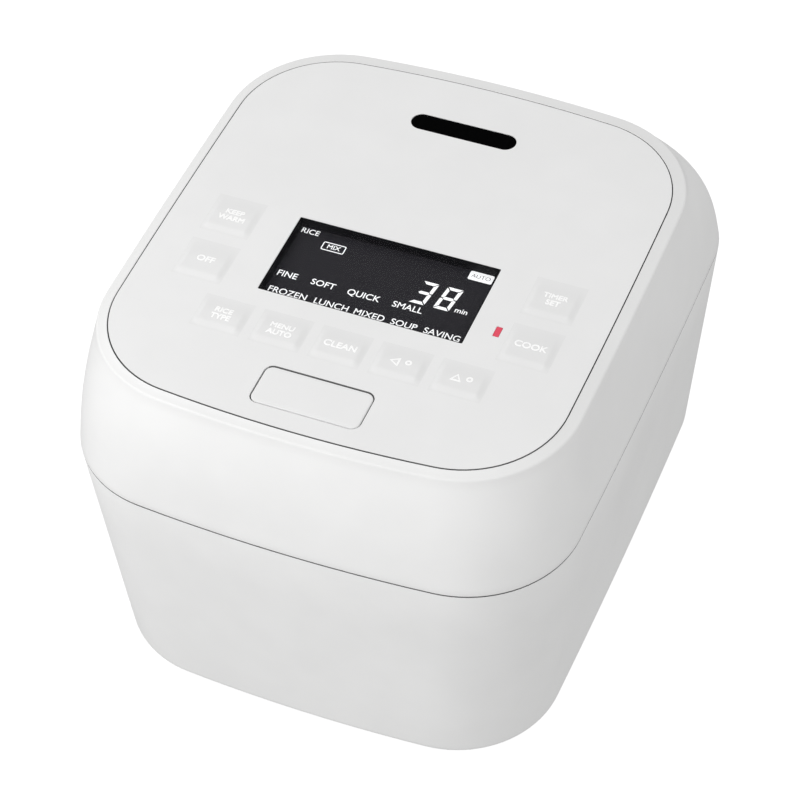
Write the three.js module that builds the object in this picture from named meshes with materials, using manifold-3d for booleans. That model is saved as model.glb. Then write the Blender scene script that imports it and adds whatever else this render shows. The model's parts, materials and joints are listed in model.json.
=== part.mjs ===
// An induction rice cooker with a hinged lid, as an assembly of separate solids.
// Millimetres, +Z up, front towards -Y, origin on the floor under the middle of the footprint.
import * as THREE from "three";
import { mergeVertices } from "three/addons/utils/BufferGeometryUtils.js";
import Module from "manifold-3d";

const wasm = await Module();
wasm.setup();

// ---- Driving dimensions -------------------------------------------------------------------------

// Overall shape: half width, reach to the front and to the rear, corner and bow radii in plan.
const WIDTH = 240; // across the seam between body and lid
const FRONT = 151; // origin to the front of the seam
const REAR = 146; // origin to the rear of the seam
const SIDE_BOW = 4500; // the sides and ends are very slightly bowed
const END_BOW = 850;
const BODY_TAPER = 10.7; // each side and the front lean in by this much down to the floor
const REAR_TAPER = 2;
const SEAM_CORNER = 53;
const SEAM_REAR_CORNER = 46;
const BODY_BOTTOM = 6; // floor to the lower edge of the body shell
const SEAM_Z = 132.5; // floor to the seam
const SEAM_GAP = 0.8;
const WALL = 2.6; // moulded wall of body and lid
const GAP = 0.3; // between pieces that touch
const SLIP = 0.4; // between pieces that slide or are trimmed to each other

// Lid top.
const PANEL_Z = SEAM_Z + 62.4; // top face of the panel over the origin
const PANEL_TILT = THREE.MathUtils.degToRad(2.08); // it rises towards the rear
const PANEL_THICK = 2.2;
const PANEL_INSET = 12.7; // seam outline to panel edge at the sides
const PANEL_FRONT_INSET = 19.6;
const PANEL_REAR_INSET = 44.9;
const PANEL_CORNER = 47.5;
const PANEL_BOW = 680;
const PANEL_LEDGE = 4; // the lid's ledge under the panel's edge
const LIP = 6; // rim round the panel, at the sides
const LIP_FRONT = 4.7;
const LIP_REAR = 8.2;
const LIP_DROP = 1.5;
const LIP_ROUND = 1.6;
const WALL_BULGE = 0.165; // how far the lid's wall stands out of straight, as a share of its lean

// Display, keys and button, on the panel. The keys stand in two side columns and a row in front.
const DISPLAY_W = 98;
const DISPLAY_D = 48.8;
const DISPLAY_Y = -33.7;
const DISPLAY_THICK = 1.6;
const KEY_W = 24;
const KEY_D = 20; // front row
const SIDE_KEY_D = 24;
const KEY_GAP = 4.4; // between neighbouring keys of the front row
const SIDE_KEY_GAP = 6.2;
const KEY_TO_DISPLAY = 17;
const KEY_RISE = 0.9; // pad above the panel
const KEY_DEPTH = 2.6;
const KEY_STEM = 5.5;
const KEY_TRAVEL = 0.5;
const INDICATOR_W = 3;
const INDICATOR_D = 6.2;
const BUTTON_W = 52;
const BUTTON_D = 22.8;
const BUTTON_Y = 41 - FRONT;
const BUTTON_CORNER = 4.4;
const BUTTON_DEPTH = 6;
const BOARD_DEPTH = 12; // panel face to the middle of the control board
const BOARD_THICK = 1.6;

// Steam slot through the panel and its duct.
const SLOT_W = 48.2;
const SLOT_D = 6.4;
const SLOT_Y = 69.8;
const SLOT_CHAMFER = 2.2; // how far the duct's rim slopes down from the panel's face
const DUCT_WALL = 2;
const DUCT_BOTTOM = SEAM_Z + 9.5;

// Pot, well and heating, round one vertical axis.
const POT_Y = -8;
const POT_R = 98.5;
const POT_WALL = 2.2;
const POT_FLOOR = 33;
const POT_CORNER = 34;
const POT_FLANGE = 6.5;
const POT_FLANGE_THICK = 1.5;
const POT_CLEARANCE = 2;
const WELL_WALL = 2;
const DECK_Z = SEAM_Z - 1.6; // top of the deck inside the body's rim
const DECK_THICK = 2.5;
const COIL_INNER = 34;
const COIL_OUTER = 82;
const COIL_THICK = 4.5;
const SEAT_THICK = 2.7;
const SEAT_HUB = 22;
const FERRITES = 4;
const FERRITE = { length: 50, width: 12, thick: 4 };
const SENSOR_R = 11;
const SENSOR_STEM = 6;
const SENSOR_CAP = 3.2;

// Base, feet, screws, fan and rear electrics.
const BASE_BOTTOM = 3.5;
const BASE_FLOOR = 7;
const BASE_INSET = 5;
const FOOT_R = 9;
const FOOT_STEM = 2.5;
const SCREW = { head: 3.5, headHeight: 2, shank: 1.6, length: 14 };
const BOSS_R = 5;
const BOSS_HEIGHT = 22;
const RIB_THICK = 2; // webs that tie bosses to the walls
const RIB_HEIGHT = 13;
const BOSS_INSET = 12; // middle of a boss to the outline, on the corner's diagonal
const FAN = { size: 50, thick: 15, hub: 9.5, blades: 7, x: -46, y: REAR - 39 };
const FAN_WALL = 2;
const BOARD = { width: 92, height: 58, thick: 1.6, x: 28, y: REAR - 33.5 };
const HEATSINK = { width: 40, height: 40, depth: 16, fins: 5, finThick: 1.6 };
const INLET = { width: 30, height: 20, depth: 22, wall: 2.4, x: 46, z: 32, pin: 2, pitch: 12 };

// Hinge at the rear and latch at the front.
const HINGE_Y = REAR - 2.5;
const HINGE_Z = SEAM_Z + 6;
const HINGE_PIN = 2.2;
const HINGE_KNUCKLE = 4.6;
const HINGE_HALF = 33; // half length of the whole hinge
const HINGE_LUG = 8; // thickness of each lug
const SPRING_HALF = 8.5; // half of the room for the spring
const NOTCH_SIDE = 1.2; // room round the hinge in the lid's rear wall
const NOTCH_TOP = 8.8; // and above the hinge's axis
const COVER_THICK = 2.4;
const COVER_REAR = REAR + 5;
const LATCH_Y = BUTTON_Y - 16;
const LATCH_Z = SEAM_Z + 32.5;
const LATCH_ARM = 22; // pivot to the button's post
const LATCH_WIDTH = 20;
const LATCH_THICK = 3.6;
const LATCH_TIP_Z = SEAM_Z - 11.5;
const LATCH_NOSE = 4;
const LATCH_PIN = 1.6;
const CATCH_THICK = 2;
const BUTTON_SPRING = { x: 16, y: BUTTON_Y - 4, z: SEAM_Z + 20.5, radius: 3.5, seat: 5 };
const LID_BASE_Z = SEAM_Z + 1.7;
const LID_BASE_THICK = 3;
const HEATER_R = 98;
const HEATER_THICK = 1.2;
const STEAM_HOLE = 4;

const BOW_STEPS = 3;
const CORNER_STEPS = 7;
const ROUND = 36; // sides of a large circle
const SMALL_ROUND = 12;

// ---- Finishes -----------------------------------------------------------------------------------

const finish = (color, roughness, metalness = 0) => {
  return new THREE.MeshStandardMaterial({ color, roughness, metalness });
};
const WHITE = finish(0xf2f2f1, 0.42);
const PANEL_WHITE = finish(0xf3f3f2, 0.3);
const BLACK_GLASS = finish(0x1d1d22, 0.15);
const BLACK = finish(0x18181a, 0.5);
const GREY = finish(0x8d8f92, 0.6);
const RED = finish(0xdd5568, 0.35);
const RUBBER = finish(0x4b4c4e, 0.85);
const SILICONE = finish(0xb9bbbd, 0.7);
const STEEL = finish(0xb9bcc0, 0.35, 1);
const ALUMINIUM = finish(0xcfd2d5, 0.4, 1);
const POT_GREY = finish(0x3a3b3d, 0.45, 0.3);
const COPPER = finish(0xb5652f, 0.45, 0.8);
const FERRITE_GREY = finish(0x3b3c3f, 0.7);
const BOARD_GREEN = finish(0x2c6b45, 0.6);

// ---- Geometry helpers ---------------------------------------------------------------------------

const vec = (x, y) => new THREE.Vector2(x, y);

// The centre of a circle that touches two others from inside, above the line between their centres.
function meeting(a, reachA, b, reachB) {
  const across = b.clone().sub(a);
  const gap = across.length();
  const along = (reachA ** 2 - reachB ** 2 + gap ** 2) / (2 * gap);
  const up = Math.sqrt(reachA ** 2 - along ** 2);
  const unit = across.divideScalar(gap);
  return vec(a.x + along * unit.x - up * unit.y, a.y + along * unit.y + up * unit.x);
}

function arc(centre, radius, from, to, steps) {
  return Array.from({ length: steps }, (_, i) => {
    const angle = from + ((to - from) * i) / steps;
    return vec(centre.x + radius * Math.cos(angle), centre.y + radius * Math.sin(angle));
  });
}

// Evenly spaced positions about a middle.
const row = (count, pitch, middle = 0) =>
  Array.from({ length: count }, (_, i) => middle + (i - (count - 1) / 2) * pitch);

// A quarter of the casing's outline, from the middle of a side round the corner to the middle of an end.
function quarter(side, half, radius, sideBow, endBow) {
  const sideCentre = vec(side - sideBow, 0);
  const endCentre = vec(0, half - endBow);
  const corner = meeting(sideCentre, sideBow - radius, endCentre, endBow - radius);
  const first = corner.clone().sub(sideCentre).angle();
  const second = corner.clone().sub(endCentre).angle();
  return [
    ...arc(sideCentre, sideBow, 0, first, BOW_STEPS),
    ...arc(corner, radius, first, second, CORNER_STEPS),
    ...arc(endCentre, endBow, second, Math.PI / 2, BOW_STEPS),
    vec(0, half),
  ];
}

// The closed outline of a plan, moved inwards by `inset`.
function outline(plan, inset = 0) {
  const half = (plan.front + plan.rear) / 2 - inset;
  const middle = (plan.rear - plan.front) / 2;
  const corner = (radius) =>
    quarter(plan.side - inset, half, radius - inset, SIDE_BOW - inset, plan.endBow - inset);
  const place = (points, flipX, flipY) =>
    points.slice(0, -1).map((p) => vec(p.x * flipX, p.y * flipY + middle));
  const rear = corner(plan.rearCorner);
  const front = corner(plan.corner);
  return [
    ...place(rear, 1, 1),
    ...place([...rear].reverse(), -1, 1),
    ...place(front, -1, -1),
    ...place([...front].reverse(), 1, -1),
  ];
}

// Puts an outline at a height, which is a number or a function of y.
const ring = (points, height) =>
  points.map((p) => [p.x, p.y, typeof height === "function" ? height(p.y) : height]);

// A closed solid through rings of equal length: a hoop joins its last ring to its first, a stack is capped.
function skin(rings, hoop) {
  const count = rings[0].length;
  const points = rings.flat();
  const faces = [];
  const bands = hoop ? rings.length : rings.length - 1;
  for (let r = 0; r < bands; r++) {
    for (let i = 0; i < count; i++) {
      const next = (i + 1) % count;
      const [a, b] = [r * count + i, r * count + next];
      const above = ((r + 1) % rings.length) * count;
      faces.push(a, b, above + next, a, above + next, above + i);
    }
  }
  if (!hoop) {
    for (const [r, flip] of [[0, true], [rings.length - 1, false]]) {
      const middle = rings[r].reduce((sum, p) => sum.map((v, k) => v + p[k] / count), [0, 0, 0]);
      const hub = points.push(middle) - 1;
      for (let i = 0; i < count; i++) {
        const [a, b] = [r * count + i, r * count + ((i + 1) % count)];
        faces.push(hub, ...(flip ? [b, a] : [a, b]));
      }
    }
  }
  const geometry = new THREE.BufferGeometry();
  geometry.setAttribute("position", new THREE.Float32BufferAttribute(points.flat(), 3));
  geometry.setIndex(faces);
  return facingOut(geometry);
}

// Turns every face round if the enclosed volume is negative.
function facingOut(geometry) {
  const position = geometry.attributes.position;
  const index = geometry.index.array;
  const corner = [0, 1, 2].map(() => new THREE.Vector3());
  let volume = 0;
  for (let i = 0; i < index.length; i += 3) {
    corner.forEach((v, k) => v.fromBufferAttribute(position, index[i + k]));
    volume += corner[0].dot(corner[1].clone().cross(corner[2]));
  }
  if (volume < 0) {
    for (let i = 0; i < index.length; i += 3) {
      [index[i], index[i + 1]] = [index[i + 1], index[i]];
    }
  }
  return geometry;
}

function box(width, depth, height, x = 0, y = 0, z = 0) {
  return new THREE.BoxGeometry(width, depth, height).translate(x, y, z);
}

// An upright cylinder from z0 to z1.
function post(radius, z0, z1, x = 0, y = 0, sides = SMALL_ROUND) {
  const rod = new THREE.CylinderGeometry(radius, radius, z1 - z0, sides);
  return rod.rotateX(Math.PI / 2).translate(x, y, (z0 + z1) / 2);
}

// A cylinder along X from x0 to x1.
function rod(radius, x0, x1, y, z, sides = SMALL_ROUND) {
  const along = new THREE.CylinderGeometry(radius, radius, x1 - x0, sides);
  return along.rotateZ(Math.PI / 2).translate((x0 + x1) / 2, y, z);
}

// A body of revolution about the vertical axis, from [radius, z] pairs.
function turned(profile, x = 0, y = 0, sides = ROUND) {
  const points = profile.map(([r, z]) => vec(r, z));
  const geometry = new THREE.LatheGeometry(points, sides).rotateX(Math.PI / 2);
  geometry.deleteAttribute("normal");
  geometry.deleteAttribute("uv");
  return facingOut(mergeVertices(geometry, 1e-4)).translate(x, y, 0);
}

// A rounded rectangle.
function roundedRectangle(width, depth, radius, x = 0, y = 0, steps = 4) {
  const [w, d] = [width / 2 - radius, depth / 2 - radius];
  const corners = [[w, d, 0], [-w, d, 1], [-w, -d, 2], [w, -d, 3]];
  return corners.flatMap(([cx, cy, turn]) => {
    const start = (turn * Math.PI) / 2;
    const bend = arc(vec(x + cx, y + cy), radius, start, start + Math.PI / 2, steps);
    const end = start + Math.PI / 2;
    return [...bend, vec(x + cx + radius * Math.cos(end), y + cy + radius * Math.sin(end))];
  });
}

const circle = (radius, x = 0, y = 0, sides = ROUND) =>
  arc(vec(x, y), radius, 0, 2 * Math.PI, sides);

// A flat plate with holes, from z0 to z1.
function plate(points, z0, z1, holes = []) {
  const shape = new THREE.Shape(points);
  shape.holes = holes.map((hole) => new THREE.Path(hole));
  const settings = { depth: z1 - z0, bevelEnabled: false };
  return new THREE.ExtrudeGeometry(shape, settings).translate(0, 0, z0);
}

// A wire coil about the Z axis with plain ends.
function coilSpring(radius, wire, z0, z1, turns, sides = 4, steps = 9) {
  class Helix extends THREE.Curve {
    getPoint(t, target = new THREE.Vector3()) {
      const angle = 2 * Math.PI * turns * t;
      return target.set(radius * Math.cos(angle), radius * Math.sin(angle), z0 + (z1 - z0) * t);
    }
  }
  const section = new THREE.Shape(circle(wire, 0, 0, sides));
  const settings = { steps: turns * steps, extrudePath: new Helix(), bevelEnabled: false };
  return new THREE.ExtrudeGeometry(section, settings);
}

function toSolid(geometry) {
  const bare = geometry.index ? geometry.toNonIndexed() : geometry.clone();
  for (const name of Object.keys(bare.attributes)) {
    if (name !== "position") bare.deleteAttribute(name);
  }
  const merged = mergeVertices(bare, 1e-4);
  const vertProperties = merged.attributes.position.array;
  const triVerts = new Uint32Array(merged.index.array);
  return new wasm.Manifold(new wasm.Mesh({ numProp: 3, vertProperties, triVerts }));
}

function toGeometry(solid) {
  const mesh = solid.getMesh();
  const geometry = new THREE.BufferGeometry();
  geometry.setAttribute("position", new THREE.Float32BufferAttribute(mesh.vertProperties, 3));
  geometry.setIndex(Array.from(mesh.triVerts));
  return geometry;
}

const join = (first, ...rest) =>
  toGeometry(rest.reduce((whole, piece) => whole.add(toSolid(piece)), toSolid(first)));
const cut = (geometry, ...tools) =>
  toGeometry(tools.reduce((whole, tool) => whole.subtract(toSolid(tool)), toSolid(geometry)));
const common = (first, second) => toGeometry(toSolid(first).intersect(toSolid(second)));

// ---- Plans shared by several pieces -------------------------------------------------------------

const SEAM_PLAN = {
  side: WIDTH / 2,
  front: FRONT,
  rear: REAR,
  corner: SEAM_CORNER,
  rearCorner: SEAM_REAR_CORNER,
  endBow: END_BOW,
};
const BASE_PLAN = {
  side: SEAM_PLAN.side - BODY_TAPER,
  front: FRONT - BODY_TAPER,
  rear: REAR - REAR_TAPER,
  corner: SEAM_CORNER - 2,
  rearCorner: SEAM_REAR_CORNER - 4,
  endBow: END_BOW,
};
const PANEL_PLAN = {
  side: SEAM_PLAN.side - PANEL_INSET,
  front: FRONT - PANEL_FRONT_INSET,
  rear: REAR - PANEL_REAR_INSET,
  corner: PANEL_CORNER,
  rearCorner: PANEL_CORNER,
  endBow: PANEL_BOW,
};
const LIP_PLAN = {
  side: PANEL_PLAN.side + LIP,
  front: PANEL_PLAN.front + LIP_FRONT,
  rear: PANEL_PLAN.rear + LIP_REAR,
  corner: PANEL_CORNER + LIP,
  rearCorner: PANEL_CORNER + LIP,
  endBow: PANEL_BOW + LIP,
};

// A plan part of the way from one to another.
function between(from, to, share) {
  const mixed = {};
  for (const key of Object.keys(from)) mixed[key] = from[key] + (to[key] - from[key]) * share;
  return mixed;
}

const LID_BOTTOM = SEAM_Z + SEAM_GAP / 2;
const panelHeight = (y) => PANEL_Z + Math.tan(PANEL_TILT) * y;
const lipTop = (y) => panelHeight(y) - LIP_DROP; // the outer edge of the rim round the panel
const lidPlanAt = (z) => {
  const share = (lipTop(0) - LIP_ROUND - z) / (lipTop(0) - LIP_ROUND - LID_BOTTOM);
  return between(LIP_PLAN, SEAM_PLAN, share);
};
const bodyPlanAt = (z) => between(BASE_PLAN, SEAM_PLAN, (z - BODY_BOTTOM) / (SEAM_Z - BODY_BOTTOM));
const BODY_TOP = SEAM_Z - SEAM_GAP / 2;
const PANEL_TRIM = 0.25; // half of the seam round the panel

// Where bosses stand, one on the diagonal of each corner, the two at the front first.
const standAt = (plan) =>
  [[1, -1], [-1, -1], [1, 1], [-1, 1]].map(([sx, sy]) => {
    const [reach, corner] = sy < 0 ? [plan.front, plan.corner] : [plan.rear, plan.rearCorner];
    const inward = corner - (corner - BOSS_INSET) * Math.SQRT1_2;
    return vec(sx * (plan.side - inward), sy * (reach - inward));
  });
const BOSSES = standAt(BASE_PLAN);
const LID_BOSSES = standAt(PANEL_PLAN).slice(0, 2);

// A web from a boss outwards along the corner's diagonal, longer than needed.
function rib(at, z) {
  const length = 3 * BOSS_INSET;
  const web = box(length, RIB_THICK, RIB_HEIGHT, length / 2);
  const diagonal = vec(Math.sign(at.x), Math.sign(at.y)).angle();
  return web.rotateZ(diagonal).translate(at.x, at.y, z);
}

const HINGE_NOTCH = HINGE_HALF + COVER_THICK + NOTCH_SIDE;
const LID_BASE_TOP = LID_BASE_Z + LID_BASE_THICK;
const STAND = BASE_FLOOR + GAP; // what stands on the base plate starts here
const LATCH_POCKET = { width: LATCH_WIDTH + 6, front: LATCH_Y - 12, rear: LATCH_Y + 4.5 };

// ---- The assembly -------------------------------------------------------------------------------

const cooker = new THREE.Group();
const deckGroup = new THREE.Group(); // the tilted plane of the panel, with z = 0 on its face
deckGroup.position.z = PANEL_Z;
deckGroup.rotation.x = PANEL_TILT;
cooker.add(deckGroup);

function part(name, geometry, material, parent = cooker) {
  const mesh = new THREE.Mesh(geometry, material);
  mesh.name = name;
  parent.add(mesh);
  return mesh;
}

// ---- Body: shell, deck, base plate, feet and screws ---------------------------------------------

function bodyShell() {
  const lowerEdge = ring(outline(bodyPlanAt(BODY_BOTTOM), 1.4), BODY_BOTTOM);
  const rounded = ring(outline(bodyPlanAt(BODY_BOTTOM + 2.4)), BODY_BOTTOM + 2.4);
  const shell = skin(
    [
      lowerEdge,
      rounded,
      ring(outline(bodyPlanAt(BODY_TOP)), BODY_TOP),
      ring(outline(bodyPlanAt(BODY_TOP), WALL), BODY_TOP),
      ring(outline(bodyPlanAt(BODY_BOTTOM), WALL), BODY_BOTTOM),
    ],
    true,
  );
  const inside = skin(
    [BODY_BOTTOM, BODY_TOP].map((z) => ring(outline(bodyPlanAt(z), WALL / 2), z)),
    false,
  );
  const top = BASE_FLOOR + BOSS_HEIGHT;
  const bosses = BOSSES.flatMap((at) => {
    const boss = post(BOSS_R, BODY_BOTTOM + 4, top, at.x, at.y);
    return [boss, common(rib(at, top - RIB_HEIGHT / 2), inside)];
  });
  const screwHoles = BOSSES.map((at) =>
    post(SCREW.shank + GAP, BASE_BOTTOM, BASE_FLOOR + SCREW.length + 1, at.x, at.y),
  );
  const inletHole = box(INLET.width + 2 * SLIP, 30, INLET.height + 2 * SLIP, INLET.x, REAR, INLET.z);
  const hingeNotch = box(2 * (HINGE_HALF + SLIP), 30, 24, 0, REAR, BODY_TOP);
  const louvres = row(8, 6.4, FAN.x).map((x) => box(3, 30, 24, x, REAR, 52));
  return cut(join(shell, ...bosses), ...screwHoles, inletHole, hingeNotch, ...louvres);
}

function deckRing() {
  const pocketDepth = LATCH_POCKET.rear - LATCH_POCKET.front;
  const pocketY = (LATCH_POCKET.rear + LATCH_POCKET.front) / 2;
  const pocket = roundedRectangle(LATCH_POCKET.width, pocketDepth, 2, 0, pocketY);
  const wellHole = circle(POT_R + POT_CLEARANCE + WELL_WALL + SLIP, 0, POT_Y);
  const outer = outline(bodyPlanAt(DECK_Z - DECK_THICK), WALL + SLIP);
  const deck = plate(outer, DECK_Z - DECK_THICK, DECK_Z, [wellHole, pocket]);
  const bracketRoom = box(2 * (HINGE_HALF + SLIP), 24, 12, 0, HINGE_Y + 5, DECK_Z);
  return cut(deck, bracketRoom);
}

function basePlate() {
  const step = BODY_BOTTOM - GAP;
  const tray = skin(
    [
      ring(outline(BASE_PLAN, BASE_INSET), BASE_BOTTOM),
      ring(outline(BASE_PLAN, 2), BASE_BOTTOM + 1.6),
      ring(outline(BASE_PLAN, 2), step),
      ring(outline(BASE_PLAN, WALL + SLIP), step),
      ring(outline(BASE_PLAN, WALL + SLIP), BODY_BOTTOM + 3),
      ring(outline(BASE_PLAN, 2 * WALL), BODY_BOTTOM + 3),
      ring(outline(BASE_PLAN, 2 * WALL), BASE_FLOOR),
    ],
    false,
  );
  const screwHoles = BOSSES.flatMap((at) => [
    post(SCREW.shank + SLIP, 0, BODY_BOTTOM + 5, at.x, at.y),
    post(SCREW.head + SLIP, 0, BASE_BOTTOM + SCREW.headHeight, at.x, at.y),
  ]);
  const footHoles = feetAt().map((at) => post(FOOT_STEM + GAP, 0, BASE_FLOOR + 1, at.x, at.y));
  const intake = row(5, 6, FAN.x).map((x) => box(3, 36, 12, x, FAN.y, BASE_BOTTOM + 2));
  return cut(tray, ...screwHoles, ...footHoles, ...intake);
}

function feetAt() {
  return BOSSES.map((at) => vec(at.x - Math.sign(at.x) * 16, at.y - Math.sign(at.y) * 6));
}

function foot() {
  const sole = BASE_BOTTOM - GAP;
  const profile = [
    [0, 0],
    [FOOT_R - 1, 0],
    [FOOT_R, 1],
    [FOOT_R, sole],
    [FOOT_STEM, sole],
    [FOOT_STEM, BASE_FLOOR - 1],
    [0, BASE_FLOOR - 1],
  ];
  return turned(profile, 0, 0, SMALL_ROUND);
}

// A screw that points up, with the underside of its head at z = 0.
function screw(length = SCREW.length) {
  const profile = [
    [0, -SCREW.headHeight + 0.8],
    [SCREW.shank * 0.6, -SCREW.headHeight],
    [SCREW.head, -SCREW.headHeight],
    [SCREW.head, 0],
    [SCREW.shank, 0],
    [SCREW.shank, length - 1],
    [0, length],
  ];
  return turned(profile, 0, 0, 12);
}

part("body_shell", bodyShell(), WHITE);
part("deck_ring", deckRing(), GREY);
part("base_plate", basePlate(), GREY);
feetAt().forEach((at, i) => {
  part(`foot_${i + 1}`, foot(), RUBBER).position.set(at.x, at.y, 0);
});
BOSSES.forEach((at, i) => {
  const seat = BASE_BOTTOM + SCREW.headHeight - GAP;
  part(`base_screw_${i + 1}`, screw(), STEEL).position.set(at.x, at.y, seat);
});

// ---- Pot well, pot and induction heating --------------------------------------------------------

// Outer side of a round-cornered cup, from the axis at its floor up to the rim.
function cupSide(radius, floor, corner, rim) {
  const bend = arc(vec(radius - corner, floor + corner), corner, -Math.PI / 2, 0, 4);
  return [[0, floor], ...bend.map((p) => [p.x, p.y]), [radius, floor + corner], [radius, rim]];
}

const WELL_INNER = POT_R + POT_CLEARANCE;
const WELL_OUTER = WELL_INNER + WELL_WALL;
const WELL_FLOOR = POT_FLOOR - POT_CLEARANCE;
const WELL_UNDER = WELL_FLOOR - WELL_WALL;
const FLANGE_Z = DECK_Z + GAP; // underside of the pot's flange
const FLANGE_TOP = FLANGE_Z + POT_FLANGE_THICK;

function potWell() {
  const flangeTop = DECK_Z - DECK_THICK - GAP;
  const outer = cupSide(WELL_OUTER, WELL_UNDER, POT_CORNER + 2 * WELL_WALL, flangeTop - 2);
  const inner = cupSide(WELL_INNER, WELL_FLOOR, POT_CORNER + WELL_WALL, DECK_Z);
  const cup = turned(
    [
      ...outer,
      [WELL_OUTER + 5, flangeTop - 2],
      [WELL_OUTER + 5, flangeTop],
      [WELL_OUTER, flangeTop],
      [WELL_OUTER, DECK_Z],
      ...inner.reverse(),
    ],
    0,
    POT_Y,
  );
  return cut(cup, post(SENSOR_R + 3, 0, POT_FLOOR + 5, 0, POT_Y, 24));
}

function innerPot() {
  const outer = cupSide(POT_R, POT_FLOOR, POT_CORNER, FLANGE_Z);
  const inner = cupSide(POT_R - POT_WALL, POT_FLOOR + POT_WALL, POT_CORNER - POT_WALL, FLANGE_TOP);
  const flange = POT_R + POT_FLANGE;
  return turned([...outer, [flange, FLANGE_Z], [flange, FLANGE_TOP], ...inner.reverse()], 0, POT_Y);
}

const COIL_TOP = WELL_UNDER - GAP;
const SEAT_TOP = COIL_TOP - COIL_THICK - GAP;
const SEAT_UNDER = SEAT_TOP - SEAT_THICK;

function inductionCoil() {
  const [low, high] = [COIL_TOP - COIL_THICK, COIL_TOP];
  const outer = Math.min(COIL_OUTER, POT_R - POT_CORNER + 18);
  const profile = [
    [COIL_INNER, low],
    [outer - 2, low],
    [outer - 2, high - 1.2],
    [outer - 14, high],
    [COIL_INNER, high],
    [COIL_INNER, low],
  ];
  return turned(profile, 0, POT_Y);
}

function coilSeat() {
  const hub = SENSOR_STEM + SLIP;
  const rim = COIL_OUTER + 4;
  const profile = [
    [hub, SEAT_UNDER - 3],
    [hub + 3, SEAT_UNDER - 3],
    [hub + 3, SEAT_UNDER],
    [rim, SEAT_UNDER],
    [rim, SEAT_TOP],
    [hub, SEAT_TOP],
    [hub, SEAT_UNDER - 3],
  ];
  return turned(profile, 0, POT_Y);
}

function potSensor() {
  const top = POT_FLOOR - GAP;
  const profile = [
    [0, SEAT_UNDER - 8],
    [SENSOR_STEM, SEAT_UNDER - 8],
    [SENSOR_STEM, top - SENSOR_CAP],
    [SENSOR_R, top - SENSOR_CAP],
    [SENSOR_R, top - 0.8],
    [SENSOR_R - 0.8, top],
    [0, top],
  ];
  return turned(profile, 0, POT_Y, 24);
}

part("pot_well", potWell(), GREY);
part("inner_pot", innerPot(), POT_GREY);
part("induction_coil", inductionCoil(), COPPER);
part("coil_seat", coilSeat(), BLACK);
for (let i = 0; i < FERRITES; i++) {
  const bar = box(FERRITE.length, FERRITE.width, FERRITE.thick, SEAT_HUB + FERRITE.length / 2);
  const mesh = part(`ferrite_${i + 1}`, bar, FERRITE_GREY);
  mesh.position.set(0, POT_Y, SEAT_UNDER - GAP - FERRITE.thick / 2);
  mesh.rotation.z = ((i + 0.5) * 2 * Math.PI) / FERRITES;
}
part("pot_sensor", potSensor(), ALUMINIUM);
{
  const low = SEAT_TOP + 0.9;
  const high = POT_FLOOR - SENSOR_CAP - 1.3;
  part("sensor_spring", coilSpring(8.4, 0.5, low, high, 3), STEEL).position.y = POT_Y;
}

// ---- Fan and rear electrics ---------------------------------------------------------------------

function fanFrame() {
  const bore = FAN.size / 2 - FAN_WALL;
  const top = STAND + FAN.thick;
  const outer = roundedRectangle(FAN.size, FAN.size, 4);
  const frame = plate(outer, STAND, top, [circle(bore, 0, 0, 28)]);
  const struts = [0, 1, 2].map((i) => {
    const strut = box(bore + 1, 3, 2, (bore + 1) / 2, 0, top - 1);
    return strut.rotateZ((i * 2 * Math.PI) / 3);
  });
  return join(frame, post(FAN.hub, top - 2, top), ...struts);
}

function fanRotor() {
  const low = STAND + 1.5;
  const high = STAND + FAN.thick - 3;
  const reach = FAN.size / 2 - FAN_WALL - 1;
  const length = reach - FAN.hub + 2;
  const blades = Array.from({ length: FAN.blades }, (_, i) => {
    const blade = box(length, 1.2, high - low + 1, 0, 0, 0).rotateX(0.75);
    blade.translate(FAN.hub - 2 + length / 2, 0, (low + high) / 2);
    return blade.rotateZ((i * 2 * Math.PI) / FAN.blades);
  });
  return join(post(FAN.hub, low, high), ...blades);
}

function powerBoard() {
  const { width, height, thick, x, y } = BOARD;
  const board = box(width, thick, height, x, y, STAND + height / 2);
  const inward = y - thick / 2;
  const capacitor = box(24, 12, 18, x + 28, inward - 5.9, STAND + 38);
  const relay = box(16, 10, 14, x + 30, inward - 4.9, STAND + 14);
  const choke = rod(7, x - 38, x - 20, inward - 6.8, STAND + 40);
  return join(board, capacitor, relay, choke);
}

function heatsink() {
  const { width, height, depth, fins, finThick } = HEATSINK;
  const pitch = (width - finThick) / (fins - 1);
  const face = BOARD.y + BOARD.thick / 2 + GAP;
  const base = box(width, 3, height, 0, face + 1.5, 0);
  const blades = Array.from({ length: fins }, (_, i) => {
    return box(finThick, depth, height, -width / 2 + finThick / 2 + i * pitch, face + depth / 2, 0);
  });
  return join(base, ...blades).translate(BOARD.x - 26, 0, STAND + BOARD.height / 2);
}

// The mains inlet, a socket that opens to the rear.
const INLET_FACE = bodyPlanAt(INLET.z).rear;

function powerInlet() {
  const { width, height, depth, wall } = INLET;
  const face = INLET_FACE;
  const housing = box(width, depth, height, 0, face - depth / 2, 0);
  const recess = box(width - 2 * wall, depth, height - 2 * wall, 0, face - depth / 2 + wall, 0);
  const pins = [-1, 1].map((s) => {
    return box(2 * (INLET.pin + GAP), 12, 2 * (INLET.pin + GAP), (s * INLET.pitch) / 2, face - depth, 0);
  });
  return cut(housing, recess, ...pins).translate(INLET.x, 0, INLET.z);
}

function inletPin() {
  const length = INLET.depth - 4;
  const pin = new THREE.CylinderGeometry(INLET.pin, INLET.pin, length, 12);
  return pin.translate(0, INLET_FACE - INLET.depth - 3 + length / 2, 0);
}

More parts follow.
